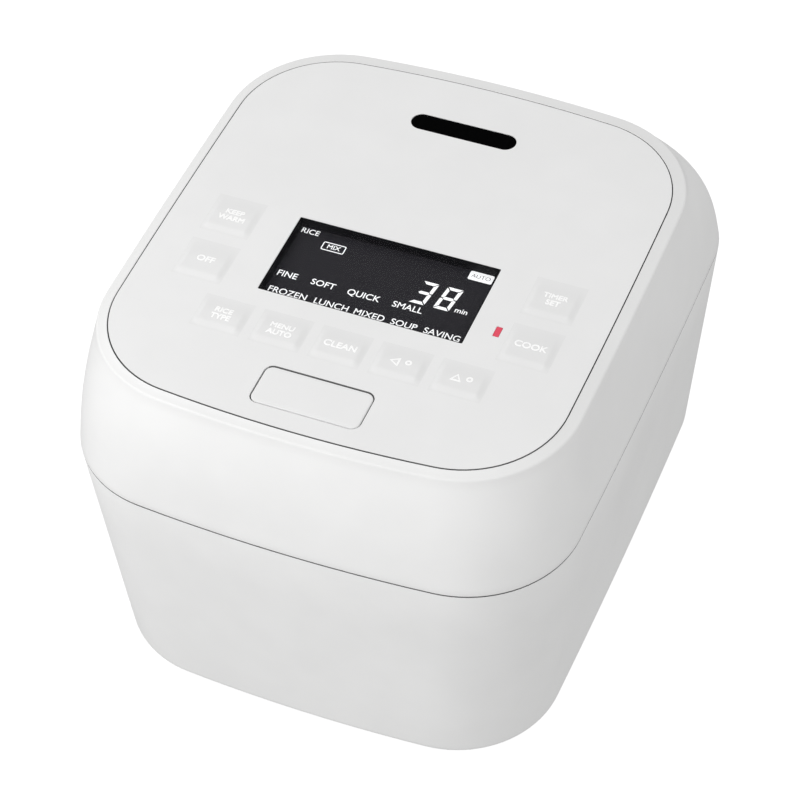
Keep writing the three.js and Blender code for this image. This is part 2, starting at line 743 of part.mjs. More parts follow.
part("fan_frame", fanFrame(), BLACK).position.set(FAN.x, FAN.y, 0);
part("fan_rotor", fanRotor(), BLACK).position.set(FAN.x, FAN.y, 0);
part("power_board", powerBoard(), BOARD_GREEN);
part("heatsink", heatsink(), ALUMINIUM);
part("power_inlet", powerInlet(), BLACK);
["left", "right"].forEach((side, i) => {
  const x = INLET.x + (i - 0.5) * INLET.pitch;
  part(`inlet_pin_${side}`, inletPin(), STEEL).position.set(x, 0, INLET.z);
});

// ---- Hinge and latch on the body ----------------------------------------------------------------

function hingeBracket() {
  const low = BODY_TOP - 11.5;
  const high = BODY_TOP - 0.2;
  const front = HINGE_Y - HINGE_KNUCKLE - 1;
  const rear = COVER_REAR - COVER_THICK - GAP;
  const depth = rear - front;
  const foundation = box(2 * HINGE_HALF, depth, high - low, 0, front + depth / 2, (low + high) / 2);
  const lugs = [-1, 1].flatMap((s) => {
    const x = s * (HINGE_HALF - HINGE_LUG / 2);
    const web = box(HINGE_LUG, 2 * HINGE_KNUCKLE, HINGE_Z - low, x, HINGE_Y, (HINGE_Z + low) / 2);
    return [web, rod(HINGE_KNUCKLE, x - HINGE_LUG / 2, x + HINGE_LUG / 2, HINGE_Y, HINGE_Z)];
  });
  const room = box(2 * (HINGE_HALF - HINGE_LUG), 30, 20, 0, HINGE_Y, HINGE_Z - HINGE_KNUCKLE + 9.3);
  const bore = rod(HINGE_PIN + GAP, -HINGE_HALF - 1, HINGE_HALF + 1, HINGE_Y, HINGE_Z);
  return cut(join(foundation, ...lugs), room, bore);
}

// A shield behind the hinge, rounded over its top.
function hingeCover() {
  const half = HINGE_HALF + COVER_THICK;
  const low = BODY_TOP - 20;
  const high = HINGE_Z + HINGE_KNUCKLE - 1;
  const reach = COVER_REAR - REAR;
  const face = plate(roundedRectangle(2 * half, high - low, 5, 0, (high + low) / 2), 0, COVER_THICK);
  face.rotateX(Math.PI / 2).translate(0, COVER_REAR, 0);
  const cheeks = [-1, 1].map((s) => {
    const y = COVER_REAR - 1 - reach / 2;
    return box(1.6, reach, high - low - 12, s * (half - 1.2), y, (high + low) / 2);
  });
  const outside = box(2 * half + 2, 40, SEAM_Z, 0, REAR - 20 + GAP, SEAM_Z / 2);
  return cut(join(face, ...cheeks), outside);
}

function hingePin() {
  return rod(HINGE_PIN, -HINGE_HALF, HINGE_HALF, HINGE_Y, HINGE_Z);
}

function latchCatch() {
  const under = DECK_Z - DECK_THICK - GAP;
  const lip = box(LATCH_WIDTH, CATCH_THICK, 6, 0, LATCH_POCKET.rear + CATCH_THICK / 2, under - 3);
  const foot = box(LATCH_WIDTH, 6, 1.5, 0, LATCH_POCKET.rear + 3, under - 0.75);
  return join(lip, foot);
}

part("hinge_bracket", hingeBracket(), GREY);
part("hinge_cover", hingeCover(), WHITE);
part("hinge_pin", hingePin(), STEEL);
{
  const room = SPRING_HALF - 1.2;
  const spring = coilSpring(HINGE_PIN + 1.5, 0.6, -room, room, 6).rotateY(Math.PI / 2);
  part("hinge_spring", spring, STEEL).position.set(0, HINGE_Y, HINGE_Z);
}
part("latch_catch", latchCatch(), STEEL);

// ---- Lid: shell, base, seal and heater ----------------------------------------------------------

function lidShell() {
  const wallPlan = (share) => {
    return between(LIP_PLAN, SEAM_PLAN, share + WALL_BULGE * Math.sin(Math.PI * share));
  };
  const wallRing = (share, inset = 0) => {
    const height = (y) => lipTop(y) - LIP_ROUND + (LID_BOTTOM - lipTop(y) + LIP_ROUND) * share;
    return ring(outline(wallPlan(share), inset), height);
  };
  const ledge = (y) => panelHeight(y) - PANEL_THICK - GAP;
  const shell = skin(
    [
      ...[1, 0.75, 0.5, 0.25, 0].map((share) => wallRing(share)),
      ring(outline(LIP_PLAN, LIP_ROUND), lipTop),
      ring(outline(PANEL_PLAN, -PANEL_TRIM), panelHeight),
      ring(outline(PANEL_PLAN, -PANEL_TRIM), ledge),
      ring(outline(PANEL_PLAN, PANEL_LEDGE), ledge),
      ring(outline(PANEL_PLAN, PANEL_LEDGE), (y) => ledge(y) - 2),
      ring(outline(LIP_PLAN, 1.2 * WALL), (y) => ledge(y) - 3),
      wallRing(0.4, WALL),
      wallRing(1, WALL),
    ],
    true,
  );
  const notchHeight = 2 * (HINGE_Z + NOTCH_TOP - LID_BOTTOM);
  const notch = box(2 * HINGE_NOTCH, 40, notchHeight, 0, REAR, LID_BOTTOM);
  const inside = skin([wallRing(1, WALL / 2), wallRing(0, WALL / 2)], false);
  const bosses = LID_BOSSES.flatMap((at) => {
    const top = panelHeight(at.y) - PANEL_THICK - 1.5;
    const boss = post(BOSS_R, LID_BASE_TOP + GAP, top, at.x, at.y);
    return [boss, common(rib(at, LATCH_Z), inside)];
  });
  const holes = LID_BOSSES.map((at) => post(SCREW.shank + GAP, LID_BOTTOM, LID_BASE_Z + 16, at.x, at.y));
  return cut(join(shell, ...bosses), notch, ...holes);
}

function lidBase() {
  const pocketDepth = LATCH_POCKET.rear - LATCH_POCKET.front;
  const pocketY = (LATCH_POCKET.rear + LATCH_POCKET.front) / 2;
  const pocket = roundedRectangle(LATCH_POCKET.width, pocketDepth, 2, 0, pocketY);
  const opening = circle(WELL_INNER - 6, 0, POT_Y);
  const top = LID_BASE_TOP;
  const base = plate(outline(lidPlanAt(top), WALL + SLIP), LID_BASE_Z, top, [opening, pocket]);
  const { seat, x: springX, y: springY, z: springZ } = BUTTON_SPRING;
  const springSeat = post(seat, top - 0.5, springZ - 1, springX, springY);
  const ears = [-1, 1].map((s) => {
    const x = s * (LATCH_WIDTH / 2 + SLIP + 1.5);
    return box(3, 9, LATCH_Z + 4 - top + 0.5, x, LATCH_Y, (LATCH_Z + 4 + top - 0.5) / 2);
  });
  const pinHole = rod(LATCH_PIN + GAP, -LATCH_WIDTH, LATCH_WIDTH, LATCH_Y, LATCH_Z);
  const screwHoles = LID_BOSSES.map((at) => post(SCREW.shank + SLIP, LID_BOTTOM, top + 1, at.x, at.y));
  const armRoom = box(2 * (HINGE_HALF + SLIP), 40, 12, 0, HINGE_Y + 10, LID_BASE_Z);
  return cut(join(base, springSeat, ...ears), pinHole, ...screwHoles, armRoom);
}

const INNER_LID_R = WELL_INNER - 7.5;
const INNER_LID_Z = LID_BOTTOM + 0.6;
const HEATER_Z = LID_BASE_TOP + GAP;

function innerLid() {
  const profile = [
    [0, INNER_LID_Z - 1],
    [INNER_LID_R - 14, INNER_LID_Z - 1],
    [INNER_LID_R - 10, INNER_LID_Z],
    [INNER_LID_R, INNER_LID_Z],
    [INNER_LID_R, INNER_LID_Z + 1.2],
    [INNER_LID_R - 10, INNER_LID_Z + 1.2],
    [INNER_LID_R - 14, INNER_LID_Z + 0.2],
    [0, INNER_LID_Z + 0.2],
  ];
  const steamHoles = row(3, 14).map((x) => {
    return post(STEAM_HOLE, LID_BOTTOM - 5, DUCT_BOTTOM, x, SLOT_Y - 12, 12);
  });
  return cut(turned(profile, 0, POT_Y), ...steamHoles);
}

function potGasket() {
  const inner = INNER_LID_R + SLIP;
  const outer = POT_R + POT_FLANGE - 1;
  const low = FLANGE_TOP + GAP;
  const high = LID_BASE_Z - GAP;
  const profile = [
    [inner, low - 1.4],
    [inner + 2, low - 1.4],
    [inner + 2, low],
    [outer, low],
    [outer, high],
    [inner, high],
    [inner, low - 1.4],
  ];
  return turned(profile, 0, POT_Y);
}

function heaterPlate() {
  const disc = turned(
    [
      [0, HEATER_Z],
      [HEATER_R + 3, HEATER_Z],
      [HEATER_R + 3, HEATER_Z + HEATER_THICK],
      [0, HEATER_Z + HEATER_THICK],
    ],
    0,
    POT_Y,
  );
  const ductHole = box(SLOT_W - 6, SLOT_D + 4, 20, 0, SLOT_Y, HEATER_Z);
  const steamRoom = box(40, 12, 20, 0, SLOT_Y - 10, HEATER_Z);
  return cut(disc, ductHole, steamRoom);
}

// The lid's half of the hinge: two barrels on an arm that reaches forward into the lid.
function hingeArm() {
  const half = HINGE_HALF - HINGE_LUG - SLIP;
  const barrels = [[-half, -SPRING_HALF], [SPRING_HALF, half]].flatMap(([x0, x1]) => {
    const web = box(x1 - x0, 14, 5, (x0 + x1) / 2, HINGE_Y - 8, HINGE_Z + 1.5);
    return [rod(HINGE_KNUCKLE - 0.1, x0, x1, HINGE_Y, HINGE_Z), web];
  });
  const arm = box(2 * half, 26, 4, 0, HINGE_Y - 26, LID_BASE_TOP + GAP + 2);
  const bore = rod(HINGE_PIN + GAP, -half - 1, half + 1, HINGE_Y, HINGE_Z);
  return cut(join(arm, ...barrels), bore);
}

part("lid_shell", lidShell(), WHITE);
part("lid_base", lidBase(), GREY);
part("inner_lid", innerLid(), ALUMINIUM);
part("pot_gasket", potGasket(), SILICONE);
part("lid_heater", heaterPlate(), ALUMINIUM);
part("hinge_arm", hingeArm(), GREY);
LID_BOSSES.forEach((at, i) => {
  const mesh = part(`lid_screw_${i + 1}`, screw(12), STEEL);
  mesh.position.set(at.x, at.y, LID_BASE_Z - GAP + 0.1);
});

// ---- Top panel, display and control board -------------------------------------------------------

const sideKeyX = DISPLAY_W / 2 + KEY_TO_DISPLAY + KEY_W / 2;
const sideKeyPitch = SIDE_KEY_D + SIDE_KEY_GAP;
const sideKeyY = DISPLAY_Y - 1.2;
const rowKeyY = DISPLAY_Y - DISPLAY_D / 2 - 10.4 - KEY_D / 2;
const KEYS = [
  { name: "key_keep_warm", x: -sideKeyX, y: sideKeyY + sideKeyPitch / 2, depth: SIDE_KEY_D },
  { name: "key_off", x: -sideKeyX, y: sideKeyY - sideKeyPitch / 2, depth: SIDE_KEY_D },
  { name: "key_timer", x: sideKeyX, y: sideKeyY + sideKeyPitch / 2, depth: SIDE_KEY_D },
  { name: "key_cook", x: sideKeyX, y: sideKeyY - sideKeyPitch / 2, depth: SIDE_KEY_D },
  ...row(5, KEY_W + KEY_GAP).map((x, i) => ({
    name: `key_${["rice", "menu", "clean", "hour", "minute"][i]}`,
    x,
    y: rowKeyY,
    depth: KEY_D,
  })),
];
const cookKey = KEYS[3];
const INDICATOR = { x: cookKey.x - KEY_W / 2 - 4.9, y: cookKey.y + 4 };

// The slot's oval, moved outwards by `grow`.
function slotOutline(grow) {
  const depth = SLOT_D + 2 * grow;
  return roundedRectangle(SLOT_W + 2 * grow, depth, depth / 2 - 0.01, 0, SLOT_Y, 6);
}

function topPanel() {
  const holes = [
    roundedRectangle(DISPLAY_W, DISPLAY_D, 0.6, 0, DISPLAY_Y, 1),
    slotOutline(DUCT_WALL + SLIP / 2),
    roundedRectangle(BUTTON_W, BUTTON_D, BUTTON_CORNER, 0, BUTTON_Y),
    roundedRectangle(INDICATOR_W, INDICATOR_D, 0.3, INDICATOR.x, INDICATOR.y, 1),
    ...KEYS.map((key) => roundedRectangle(KEY_W + SLIP, key.depth + SLIP, 2, key.x, key.y, 2)),
  ];
  return plate(outline(PANEL_PLAN, PANEL_TRIM), -PANEL_THICK, 0, holes);
}

// A key: a pad with sloping sides on a stem that reaches down to its switch.
function keyPad(depth) {
  const pad = skin(
    [
      ring(roundedRectangle(KEY_W - SLIP, depth - SLIP, 1.8, 0, 0, 2), -KEY_DEPTH),
      ring(roundedRectangle(KEY_W - SLIP, depth - SLIP, 1.8, 0, 0, 2), 0),
      ring(roundedRectangle(KEY_W - 5, depth - 5, 1.5, 0, 0, 2), KEY_RISE),
    ],
    false,
  );
  return join(pad, post(2, -KEY_DEPTH - KEY_STEM, -KEY_DEPTH / 2, 0, 0, 8));
}

const BOARD_TOP = -BOARD_DEPTH + BOARD_THICK / 2;
const SWITCH_TOP = -KEY_DEPTH - KEY_STEM - KEY_TRAVEL - GAP;

function controlBoard() {
  const width = 2 * sideKeyX + KEY_W;
  const rear = sideKeyY + sideKeyPitch / 2 + SIDE_KEY_D / 2;
  const front = rowKeyY - KEY_D / 2;
  const points = roundedRectangle(width, rear - front, 3, 0, (rear + front) / 2, 1);
  const board = plate(points, BOARD_TOP - BOARD_THICK, BOARD_TOP);
  const switches = KEYS.map((key) => {
    return box(6, 6, SWITCH_TOP - BOARD_TOP + 0.4, key.x, key.y, (SWITCH_TOP + BOARD_TOP - 0.4) / 2);
  });
  const connector = box(18, 6, 6, sideKeyX, rowKeyY, BOARD_TOP + 2.8);
  return join(board, ...switches, connector);
}

function displayModule() {
  const top = -PANEL_THICK - GAP;
  const low = BOARD_TOP + GAP;
  return plate(roundedRectangle(DISPLAY_W - 2, DISPLAY_D - 2, 1, 0, DISPLAY_Y, 1), low, top);
}

function displayWindow() {
  const points = roundedRectangle(DISPLAY_W - 2 * GAP, DISPLAY_D - 2 * GAP, 0.5, 0, DISPLAY_Y, 1);
  return plate(points, -0.15 - DISPLAY_THICK, -0.15);
}

// A straight oval tube from the panel's slot, where its rim slopes inwards, down to the lid's base.
function steamDuct() {
  const face = (y) => panelHeight(y) - 0.1;
  return skin(
    [
      ring(slotOutline(DUCT_WALL), DUCT_BOTTOM),
      ring(slotOutline(DUCT_WALL), face),
      ring(slotOutline(DUCT_WALL - 0.4), face),
      ring(slotOutline(0), (y) => face(y) - SLOT_CHAMFER),
      ring(slotOutline(0), DUCT_BOTTOM),
    ],
    true,
  );
}

part("top_panel", topPanel(), PANEL_WHITE, deckGroup);
part("display_window", displayWindow(), BLACK_GLASS, deckGroup);
part("display_module", displayModule(), BLACK, deckGroup);
part("control_board", controlBoard(), BOARD_GREEN, deckGroup);
for (const key of KEYS) {
  part(key.name, keyPad(key.depth), PANEL_WHITE, deckGroup).position.set(key.x, key.y, 0);
}
{
  const lens = roundedRectangle(INDICATOR_W - SLIP, INDICATOR_D - SLIP, 0.2, 0, 0, 1);
  const light = part("cook_indicator", plate(lens, BOARD_TOP + GAP, 0.1), RED, deckGroup);
  light.position.set(INDICATOR.x, INDICATOR.y, 0);
}
part("steam_duct", steamDuct(), BLACK);

// ---- Open button and latch ----------------------------------------------------------------------

const BUTTON_POST_Y = LATCH_Y + LATCH_ARM;

function openButton() {
  const size = (inset) => roundedRectangle(
    BUTTON_W - 2 * SLIP - 2 * inset,
    BUTTON_D - 2 * SLIP - 2 * inset,
    BUTTON_CORNER - SLIP - inset,
    0,
    BUTTON_Y,
  );
  const cap = skin([ring(size(0), -BUTTON_DEPTH), ring(size(0), -0.5), ring(size(0.5), 0)], false);
  const armTop = LATCH_Z + LATCH_THICK / 2 + GAP - panelHeight(BUTTON_POST_Y);
  return join(cap, post(3, armTop, -BUTTON_DEPTH / 2, 0, BUTTON_POST_Y));
}

// The hook: a tail under the button's post, a hub on the pin, and a leg with a nose at its foot.
function latchHook() {
  const half = LATCH_WIDTH / 2;
  const hub = rod(4.2, -half, half, LATCH_Y, LATCH_Z);
  const tail = box(12, LATCH_ARM + 4, LATCH_THICK, 0, LATCH_Y + (LATCH_ARM + 4) / 2, LATCH_Z);
  const drop = LATCH_Z - LATCH_TIP_Z;
  const leg = box(LATCH_WIDTH - 2, LATCH_THICK, drop, 0, LATCH_Y, LATCH_TIP_Z + drop / 2);
  const nose = box(LATCH_WIDTH - 2, LATCH_NOSE, 3, 0, LATCH_Y + LATCH_NOSE / 2, LATCH_TIP_Z + 1.5);
  const bore = rod(LATCH_PIN + GAP, -half - 1, half + 1, LATCH_Y, LATCH_Z);
  return cut(join(hub, tail, leg, nose), bore);
}

function latchPin() {
  return rod(LATCH_PIN, -LATCH_WIDTH / 2 - 4, LATCH_WIDTH / 2 + 4, LATCH_Y, LATCH_Z, 12);
}

part("open_button", openButton(), PANEL_WHITE, deckGroup);
{
  const { x, y, z, radius } = BUTTON_SPRING;
  const spring = coilSpring(radius, 0.5, z - panelHeight(y), -BUTTON_DEPTH - 0.9, 5);
  part("button_spring", spring, STEEL, deckGroup).position.set(x, y, 0);
}
part("latch_hook", latchHook(), STEEL);
part("latch_pin", latchPin(), STEEL);

export default cooker;
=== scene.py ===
"""An induction rice cooker: white casings, sloping control panel, dark display, and the works inside the lid and base."""

import json
import math

import bmesh
import bpy
from bpy.props import FloatProperty, FloatVectorProperty, PointerProperty
from mathutils import Matrix, Vector


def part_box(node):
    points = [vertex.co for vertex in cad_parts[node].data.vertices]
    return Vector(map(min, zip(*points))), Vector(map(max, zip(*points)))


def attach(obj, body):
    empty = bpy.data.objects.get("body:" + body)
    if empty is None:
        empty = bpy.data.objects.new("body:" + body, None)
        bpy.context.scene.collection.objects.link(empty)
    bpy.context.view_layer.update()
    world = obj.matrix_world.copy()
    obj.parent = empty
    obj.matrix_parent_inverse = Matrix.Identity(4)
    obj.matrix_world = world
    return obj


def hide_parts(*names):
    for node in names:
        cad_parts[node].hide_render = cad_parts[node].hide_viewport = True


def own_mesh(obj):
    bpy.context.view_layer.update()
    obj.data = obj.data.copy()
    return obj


bl_info = {
    "name": "Rice Cooker",
    "version": (1, 0, 0),
    "blender": (4, 5, 0),
    "location": "3D View > Sidebar > Rice Cooker",
    "description": "Builds a rice cooker's casings, panel, keys and inner pieces round its packed frame",
    "category": "Object",
}

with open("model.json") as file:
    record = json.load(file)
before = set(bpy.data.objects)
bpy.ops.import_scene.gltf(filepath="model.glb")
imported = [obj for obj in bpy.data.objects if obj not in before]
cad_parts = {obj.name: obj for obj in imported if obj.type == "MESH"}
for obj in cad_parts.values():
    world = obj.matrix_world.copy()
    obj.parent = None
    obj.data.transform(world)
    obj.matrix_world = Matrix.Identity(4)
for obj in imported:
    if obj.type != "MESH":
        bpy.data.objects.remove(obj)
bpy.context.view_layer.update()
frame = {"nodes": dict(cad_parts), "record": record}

MM = 0.001  # pieces are shaped in millimetres and written in metres

# ---- Sizes shared by several pieces, in millimetres ----------------------------------------------


def corners(node):
    """A CAD node's lowest and highest corners, in millimetres."""
    low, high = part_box(node)
    return low / MM, high / MM


LID_LOW, LID_HIGH = corners("lid_shell")
BODY_LOW, BODY_HIGH = corners("body_shell")
SIDE = LID_HIGH.x
FRONT = -LID_LOW.y
REAR = 146.0
SIDE_BOW = 4500.0
BODY_BOTTOM = BODY_LOW.z
BODY_TOP = BODY_HIGH.z
LID_BOTTOM = LID_LOW.z
SEAM_Z = (BODY_TOP + LID_BOTTOM) / 2
WALL = 2.6
PANEL_Z = SEAM_Z + 62.4
PANEL_TILT = math.radians(2.08)
LIP_DROP = 1.5
LIP_ROUND = 1.5
WALL_BULGE = 0.165  # as a share of the wall's lean
HINGE_Y = REAR - 2.5
HINGE_Z = SEAM_Z + 6
POT_Y = -8.0

DISPLAY = (98.0, 48.8)
DISPLAY_Y = -33.7
DISPLAY_DEPTH = 4.6
BUTTON = (52.0, 22.8)
BUTTON_Y = 41 - FRONT
BUTTON_CORNER = 4.4
SLOT = (48.2, 6.4)
SLOT_Y = 69.8
KEY_W = 24.0
KEYS = {  # place on the panel and depth
    "keep_warm": (-78.0, -19.8, 24.0),
    "off": (-78.0, -50.0, 24.0),
    "timer": (78.0, -19.8, 24.0),
    "cook": (78.0, -50.0, 24.0),
    "rice": (-56.8, -78.5, 20.0),
    "menu": (-28.4, -78.5, 20.0),
    "clean": (0.0, -78.5, 20.0),
    "hour": (28.4, -78.5, 20.0),
    "minute": (56.8, -78.5, 20.0),
}
INDICATOR = (61.1, -46.0)

DECK = Matrix.Translation((0, 0, PANEL_Z)) @ Matrix.Rotation(PANEL_TILT, 4, "X")


def plan(side, front, rear, corner, rear_corner, end_bow):
    return {
        "side": side,
        "front": front,
        "rear": rear,
        "corner": corner,
        "rear_corner": rear_corner,
        "end_bow": end_bow,
    }


SEAM_PLAN = plan(SIDE, FRONT, REAR, 53, 46, 850)
BASE_PLAN = plan(SIDE - 10.7, FRONT - 10.7, REAR - 2, 51, 42, 850)
PANEL_PLAN = plan(SIDE - 12.7, FRONT - 19.6, REAR - 44.9, 47.5, 47.5, 680)
LIP_PLAN = plan(SIDE - 6.7, FRONT - 14.9, REAR - 36.7, 53.5, 53.5, 686)


def between(first, second, share):
    """A plan part of the way from one to another."""
    return {key: first[key] + (second[key] - first[key]) * share for key in first}


# ---- Outlines -------------------------------------------------------------------------------------


def arc(centre, radius, start, end, steps):
    """Points on a circle from start up to, and not at, end."""
    angles = (start + (end - start) * i / steps for i in range(steps))
    return [centre + radius * Vector((math.cos(a), math.sin(a))) for a in angles]


def quarter(side, half, radius, side_bow, end_bow):
    """From the middle of a bowed side round the corner to the middle of a bowed end."""
    side_centre, end_centre = Vector((side - side_bow, 0)), Vector((0, half - end_bow))
    reach_a, reach_b = side_bow - radius, end_bow - radius
    across = end_centre - side_centre
    gap = across.length
    along = (reach_a**2 - reach_b**2 + gap**2) / (2 * gap)
    unit = across / gap
    up = math.sqrt(reach_a**2 - along**2)
    corner = side_centre + along * unit + up * Vector((-unit.y, unit.x))
    first = math.atan2(*(corner - side_centre).yx)
    second = math.atan2(*(corner - end_centre).yx)
    return [
        *arc(side_centre, side_bow, 0, first, 6),
        *arc(corner, radius, first, second, 20),
        *arc(end_centre, end_bow, second, math.pi / 2, 6),
        Vector((0, half)),
    ]


def outline(shape, inset=0.0):
    """The closed outline of a plan, moved inwards by `inset`."""
    half = (shape["front"] + shape["rear"]) / 2 - inset
    middle = (shape["rear"] - shape["front"]) / 2
    rear, front = (
        quarter(shape["side"] - inset, half, shape[key] - inset, SIDE_BOW - inset, shape["end_bow"] - inset)
        for key in ("rear_corner", "corner")
    )
    turns = ((rear, 1, 1), (rear[::-1], -1, 1), (front, -1, -1), (front[::-1], 1, -1))
    return [(p.x * sx, p.y * sy + middle) for points, sx, sy in turns for p in points[:-1]]


def rounded_rectangle(size, radius, centre=(0, 0), inset=0.0, steps=8):
    """The outline of a rounded rectangle."""
    radius = max(radius - inset, 0.01)
    w, d = size[0] / 2 - inset - radius, size[1] / 2 - inset - radius
    points = []
    for turn, (x, y) in enumerate(((w, d), (-w, d), (-w, -d), (w, -d))):
        start = turn * math.pi / 2
        middle = Vector((x + centre[0], y + centre[1]))
        points += arc(middle, radius, start, start + math.pi / 2, steps)
        points += arc(middle, radius, start + math.pi / 2, start + math.pi, 1)
    return [tuple(p) for p in points]


def at(points, height):
    """Puts an outline at a height, which is a number or a function of y."""
    return [(x, y, height(y) if callable(height) else height) for x, y in points]


# ---- Mesh helpers -----------------------------------------------------------------------------------


def hoop(bm, points):
    """A closed loop of edges through points."""
    verts = [bm.verts.new(p) for p in points]
    return [bm.edges.new(pair) for pair in zip(verts, verts[1:] + verts[:1])]


def loft(bm, rings, closed=False, caps=False):
    """Skins rings of points with bridges; closed joins the last to the first, caps fills both ends."""
    loops = [hoop(bm, ring) for ring in rings]
    following = loops[1:] + loops[:1] if closed else loops[1:]
    for first, second in zip(loops, following):
        bmesh.ops.bridge_loops(bm, edges=first + second)
    if caps:
        for loop in (loops[0], loops[-1]):
            bmesh.ops.contextual_create(bm, geom=loop)
    bmesh.ops.recalc_face_normals(bm, faces=bm.faces)
    return loops


def lathe(bm, profile, centre=(0, POT_Y), steps=96):
    """Spins [radius, z] points round an upright axis."""
    verts = [bm.verts.new((centre[0] + r, centre[1], z)) for r, z in profile]
    edges = [bm.edges.new(pair) for pair in zip(verts, verts[1:])]
    bmesh.ops.spin(
        bm,
        geom=verts + edges,
        cent=(*centre, 0),
        axis=(0, 0, 1),
        angle=2 * math.pi,
        steps=steps,
        use_merge=True,
    )
    bmesh.ops.remove_doubles(bm, verts=bm.verts, dist=1e-4)
    bmesh.ops.recalc_face_normals(bm, faces=bm.faces)


def cuboid(bm, size, centre=(0, 0, 0), turn=None):
    """A box; returns its vertices."""
    matrix = Matrix.Translation(centre) @ (turn or Matrix()) @ Matrix.Diagonal((*size, 1))
    return bmesh.ops.create_cube(bm, size=1, matrix=matrix)["verts"]


def mesh_of(obj):
    """What a curve, text or modified object comes out as."""
    graph = bpy.context.evaluated_depsgraph_get()
    mesh = bpy.data.meshes.new_from_object(obj.evaluated_get(graph))
    data = obj.data
    bpy.data.objects.remove(obj)
    if isinstance(data, bpy.types.Curve):
        bpy.data.curves.remove(data)
    return mesh


def add_mesh(bm, mesh, matrix=None):
    """Adds a mesh to a bmesh and frees it."""
    if matrix is not None:
        mesh.transform(matrix)
    bm.from_mesh(mesh)
    bpy.data.meshes.remove(mesh)


def flat_shape(outlines, low, high, edge=0.0):
    """A plate from an outline and its holes, with its edges rounded."""
    curve = bpy.data.curves.new("outline", "CURVE")
    curve.dimensions = "2D"
    curve.fill_mode = "BOTH"
    curve.extrude = (high - low) / 2 - edge
    curve.bevel_depth = edge
    curve.bevel_resolution = 2
    curve.offset = -edge
    for points in outlines:
        spline = curve.splines.new("POLY")
        spline.points.add(len(points) - 1)
        for point, (x, y) in zip(spline.points, points):
            point.co = (x, y, 0, 1)
        spline.use_cyclic_u = True
    obj = bpy.data.objects.new("outline", curve)
    bpy.context.collection.objects.link(obj)
    mesh = mesh_of(obj)
    mesh.transform(Matrix.Translation((0, 0, (low + high) / 2)))
    return mesh


def lettering(words, size, thick, bold=0.0):
    """Words as a thin solid, centred on the origin, with their strokes rounded out by `bold`."""
    curve = bpy.data.curves.new("words", "FONT")
    curve.body = words
    curve.size = size
    curve.extrude = max(thick / 2 - bold, 0.01)
    curve.bevel_depth = bold
    curve.bevel_resolution = 1
    curve.align_x = "CENTER"
    curve.align_y = "CENTER"
    curve.space_line = 0.9
    obj = bpy.data.objects.new("words", curve)
    bpy.context.collection.objects.link(obj)
    return mesh_of(obj)


def carve(bm, cutters):
    """Subtracts a bmesh of closed cutters from another, and frees both into a new one."""
    objects = []
    for shape in (bm, cutters):
        mesh = bpy.data.meshes.new("work")
        shape.to_mesh(mesh)
        shape.free()
        obj = bpy.data.objects.new("work", mesh)
        bpy.context.collection.objects.link(obj)
        objects.append(obj)
    whole, tool = objects
    cut = whole.modifiers.new("cut", "BOOLEAN")
    cut.operation = "DIFFERENCE"
    cut.solver = "EXACT"
    cut.object = tool
    result = bmesh.new()
    add_mesh(result, mesh_of(whole))
    bpy.data.objects.remove(tool)
    return result


def tint(bm, index, test):
    """Gives the faces whose middle and normal pass a test another of the piece's finishes."""
    bm.normal_update()
    for face in bm.faces:
        if test(face.calc_center_median(), face.normal):
            face.material_index = index


def piece(name, bm, finishes, body, replaces=(), sharp=32.0, deck=False):
    """Writes a bmesh shaped in millimetres as a finished piece that rides on a body."""
    if deck:
        bmesh.ops.transform(bm, matrix=DECK, verts=bm.verts)
    bmesh.ops.scale(bm, vec=(MM, MM, MM), verts=bm.verts)
    mesh = bpy.data.meshes.new(name)
    bm.to_mesh(mesh)
    bm.free()
    mesh.polygons.foreach_set("use_smooth", [True] * len(mesh.polygons))
    mesh.set_sharp_from_angle(angle=math.radians(sharp))
    for finish in finishes:
        mesh.materials.append(finish)
    obj = bpy.data.objects.new(name, mesh)
    bpy.context.collection.objects.link(obj)
    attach(obj, body)
    if replaces:
        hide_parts(*replaces)
    return obj


def refined(name, node, finish, body, width=0.3):
    """A CAD node's shape with its flat faces joined, its edges rounded and its curves smooth."""
    bm = bmesh.new()
    bm.from_mesh(frame["nodes"][node].data)
    bmesh.ops.scale(bm, vec=(1 / MM, 1 / MM, 1 / MM), verts=bm.verts)
    bmesh.ops.remove_doubles(bm, verts=bm.verts, dist=1e-3)
    for edge in bm.edges:
        edge.smooth = True
    bmesh.ops.dissolve_limit(
        bm, angle_limit=math.radians(1.0), verts=bm.verts, edges=bm.edges, use_dissolve_boundaries=False
    )
    bmesh.ops.recalc_face_normals(bm, faces=bm.faces)
    obj = piece(name, bm, [finish], body, [node])
    bevel = obj.modifiers.new("edge", "BEVEL")
    bevel.width = width * MM
    bevel.segments = 2
    bevel.limit_method = "ANGLE"
    bevel.angle_limit = math.radians(40)
    bevel.harden_normals = False
    return obj


# ---- Finishes -----------------------------------------------------------------------------------------


class Value:
    """A number or colour on its way through a finish, so that shader maths reads as Python."""

    def __init__(self, finish, socket):
        self.finish = finish
        self.socket = socket

    def math(self, operation, *values):
        return self.finish.node("ShaderNodeMath", {"operation": operation}, values)

    def __add__(self, other):
        return self.math("ADD", self, other)

    def __sub__(self, other):
        return self.math("SUBTRACT", self, other)

    def __rsub__(self, other):
        return self.math("SUBTRACT", other, self)

    def __mul__(self, other):
        return self.math("MULTIPLY", self, other)

    __radd__ = __add__
    __rmul__ = __mul__


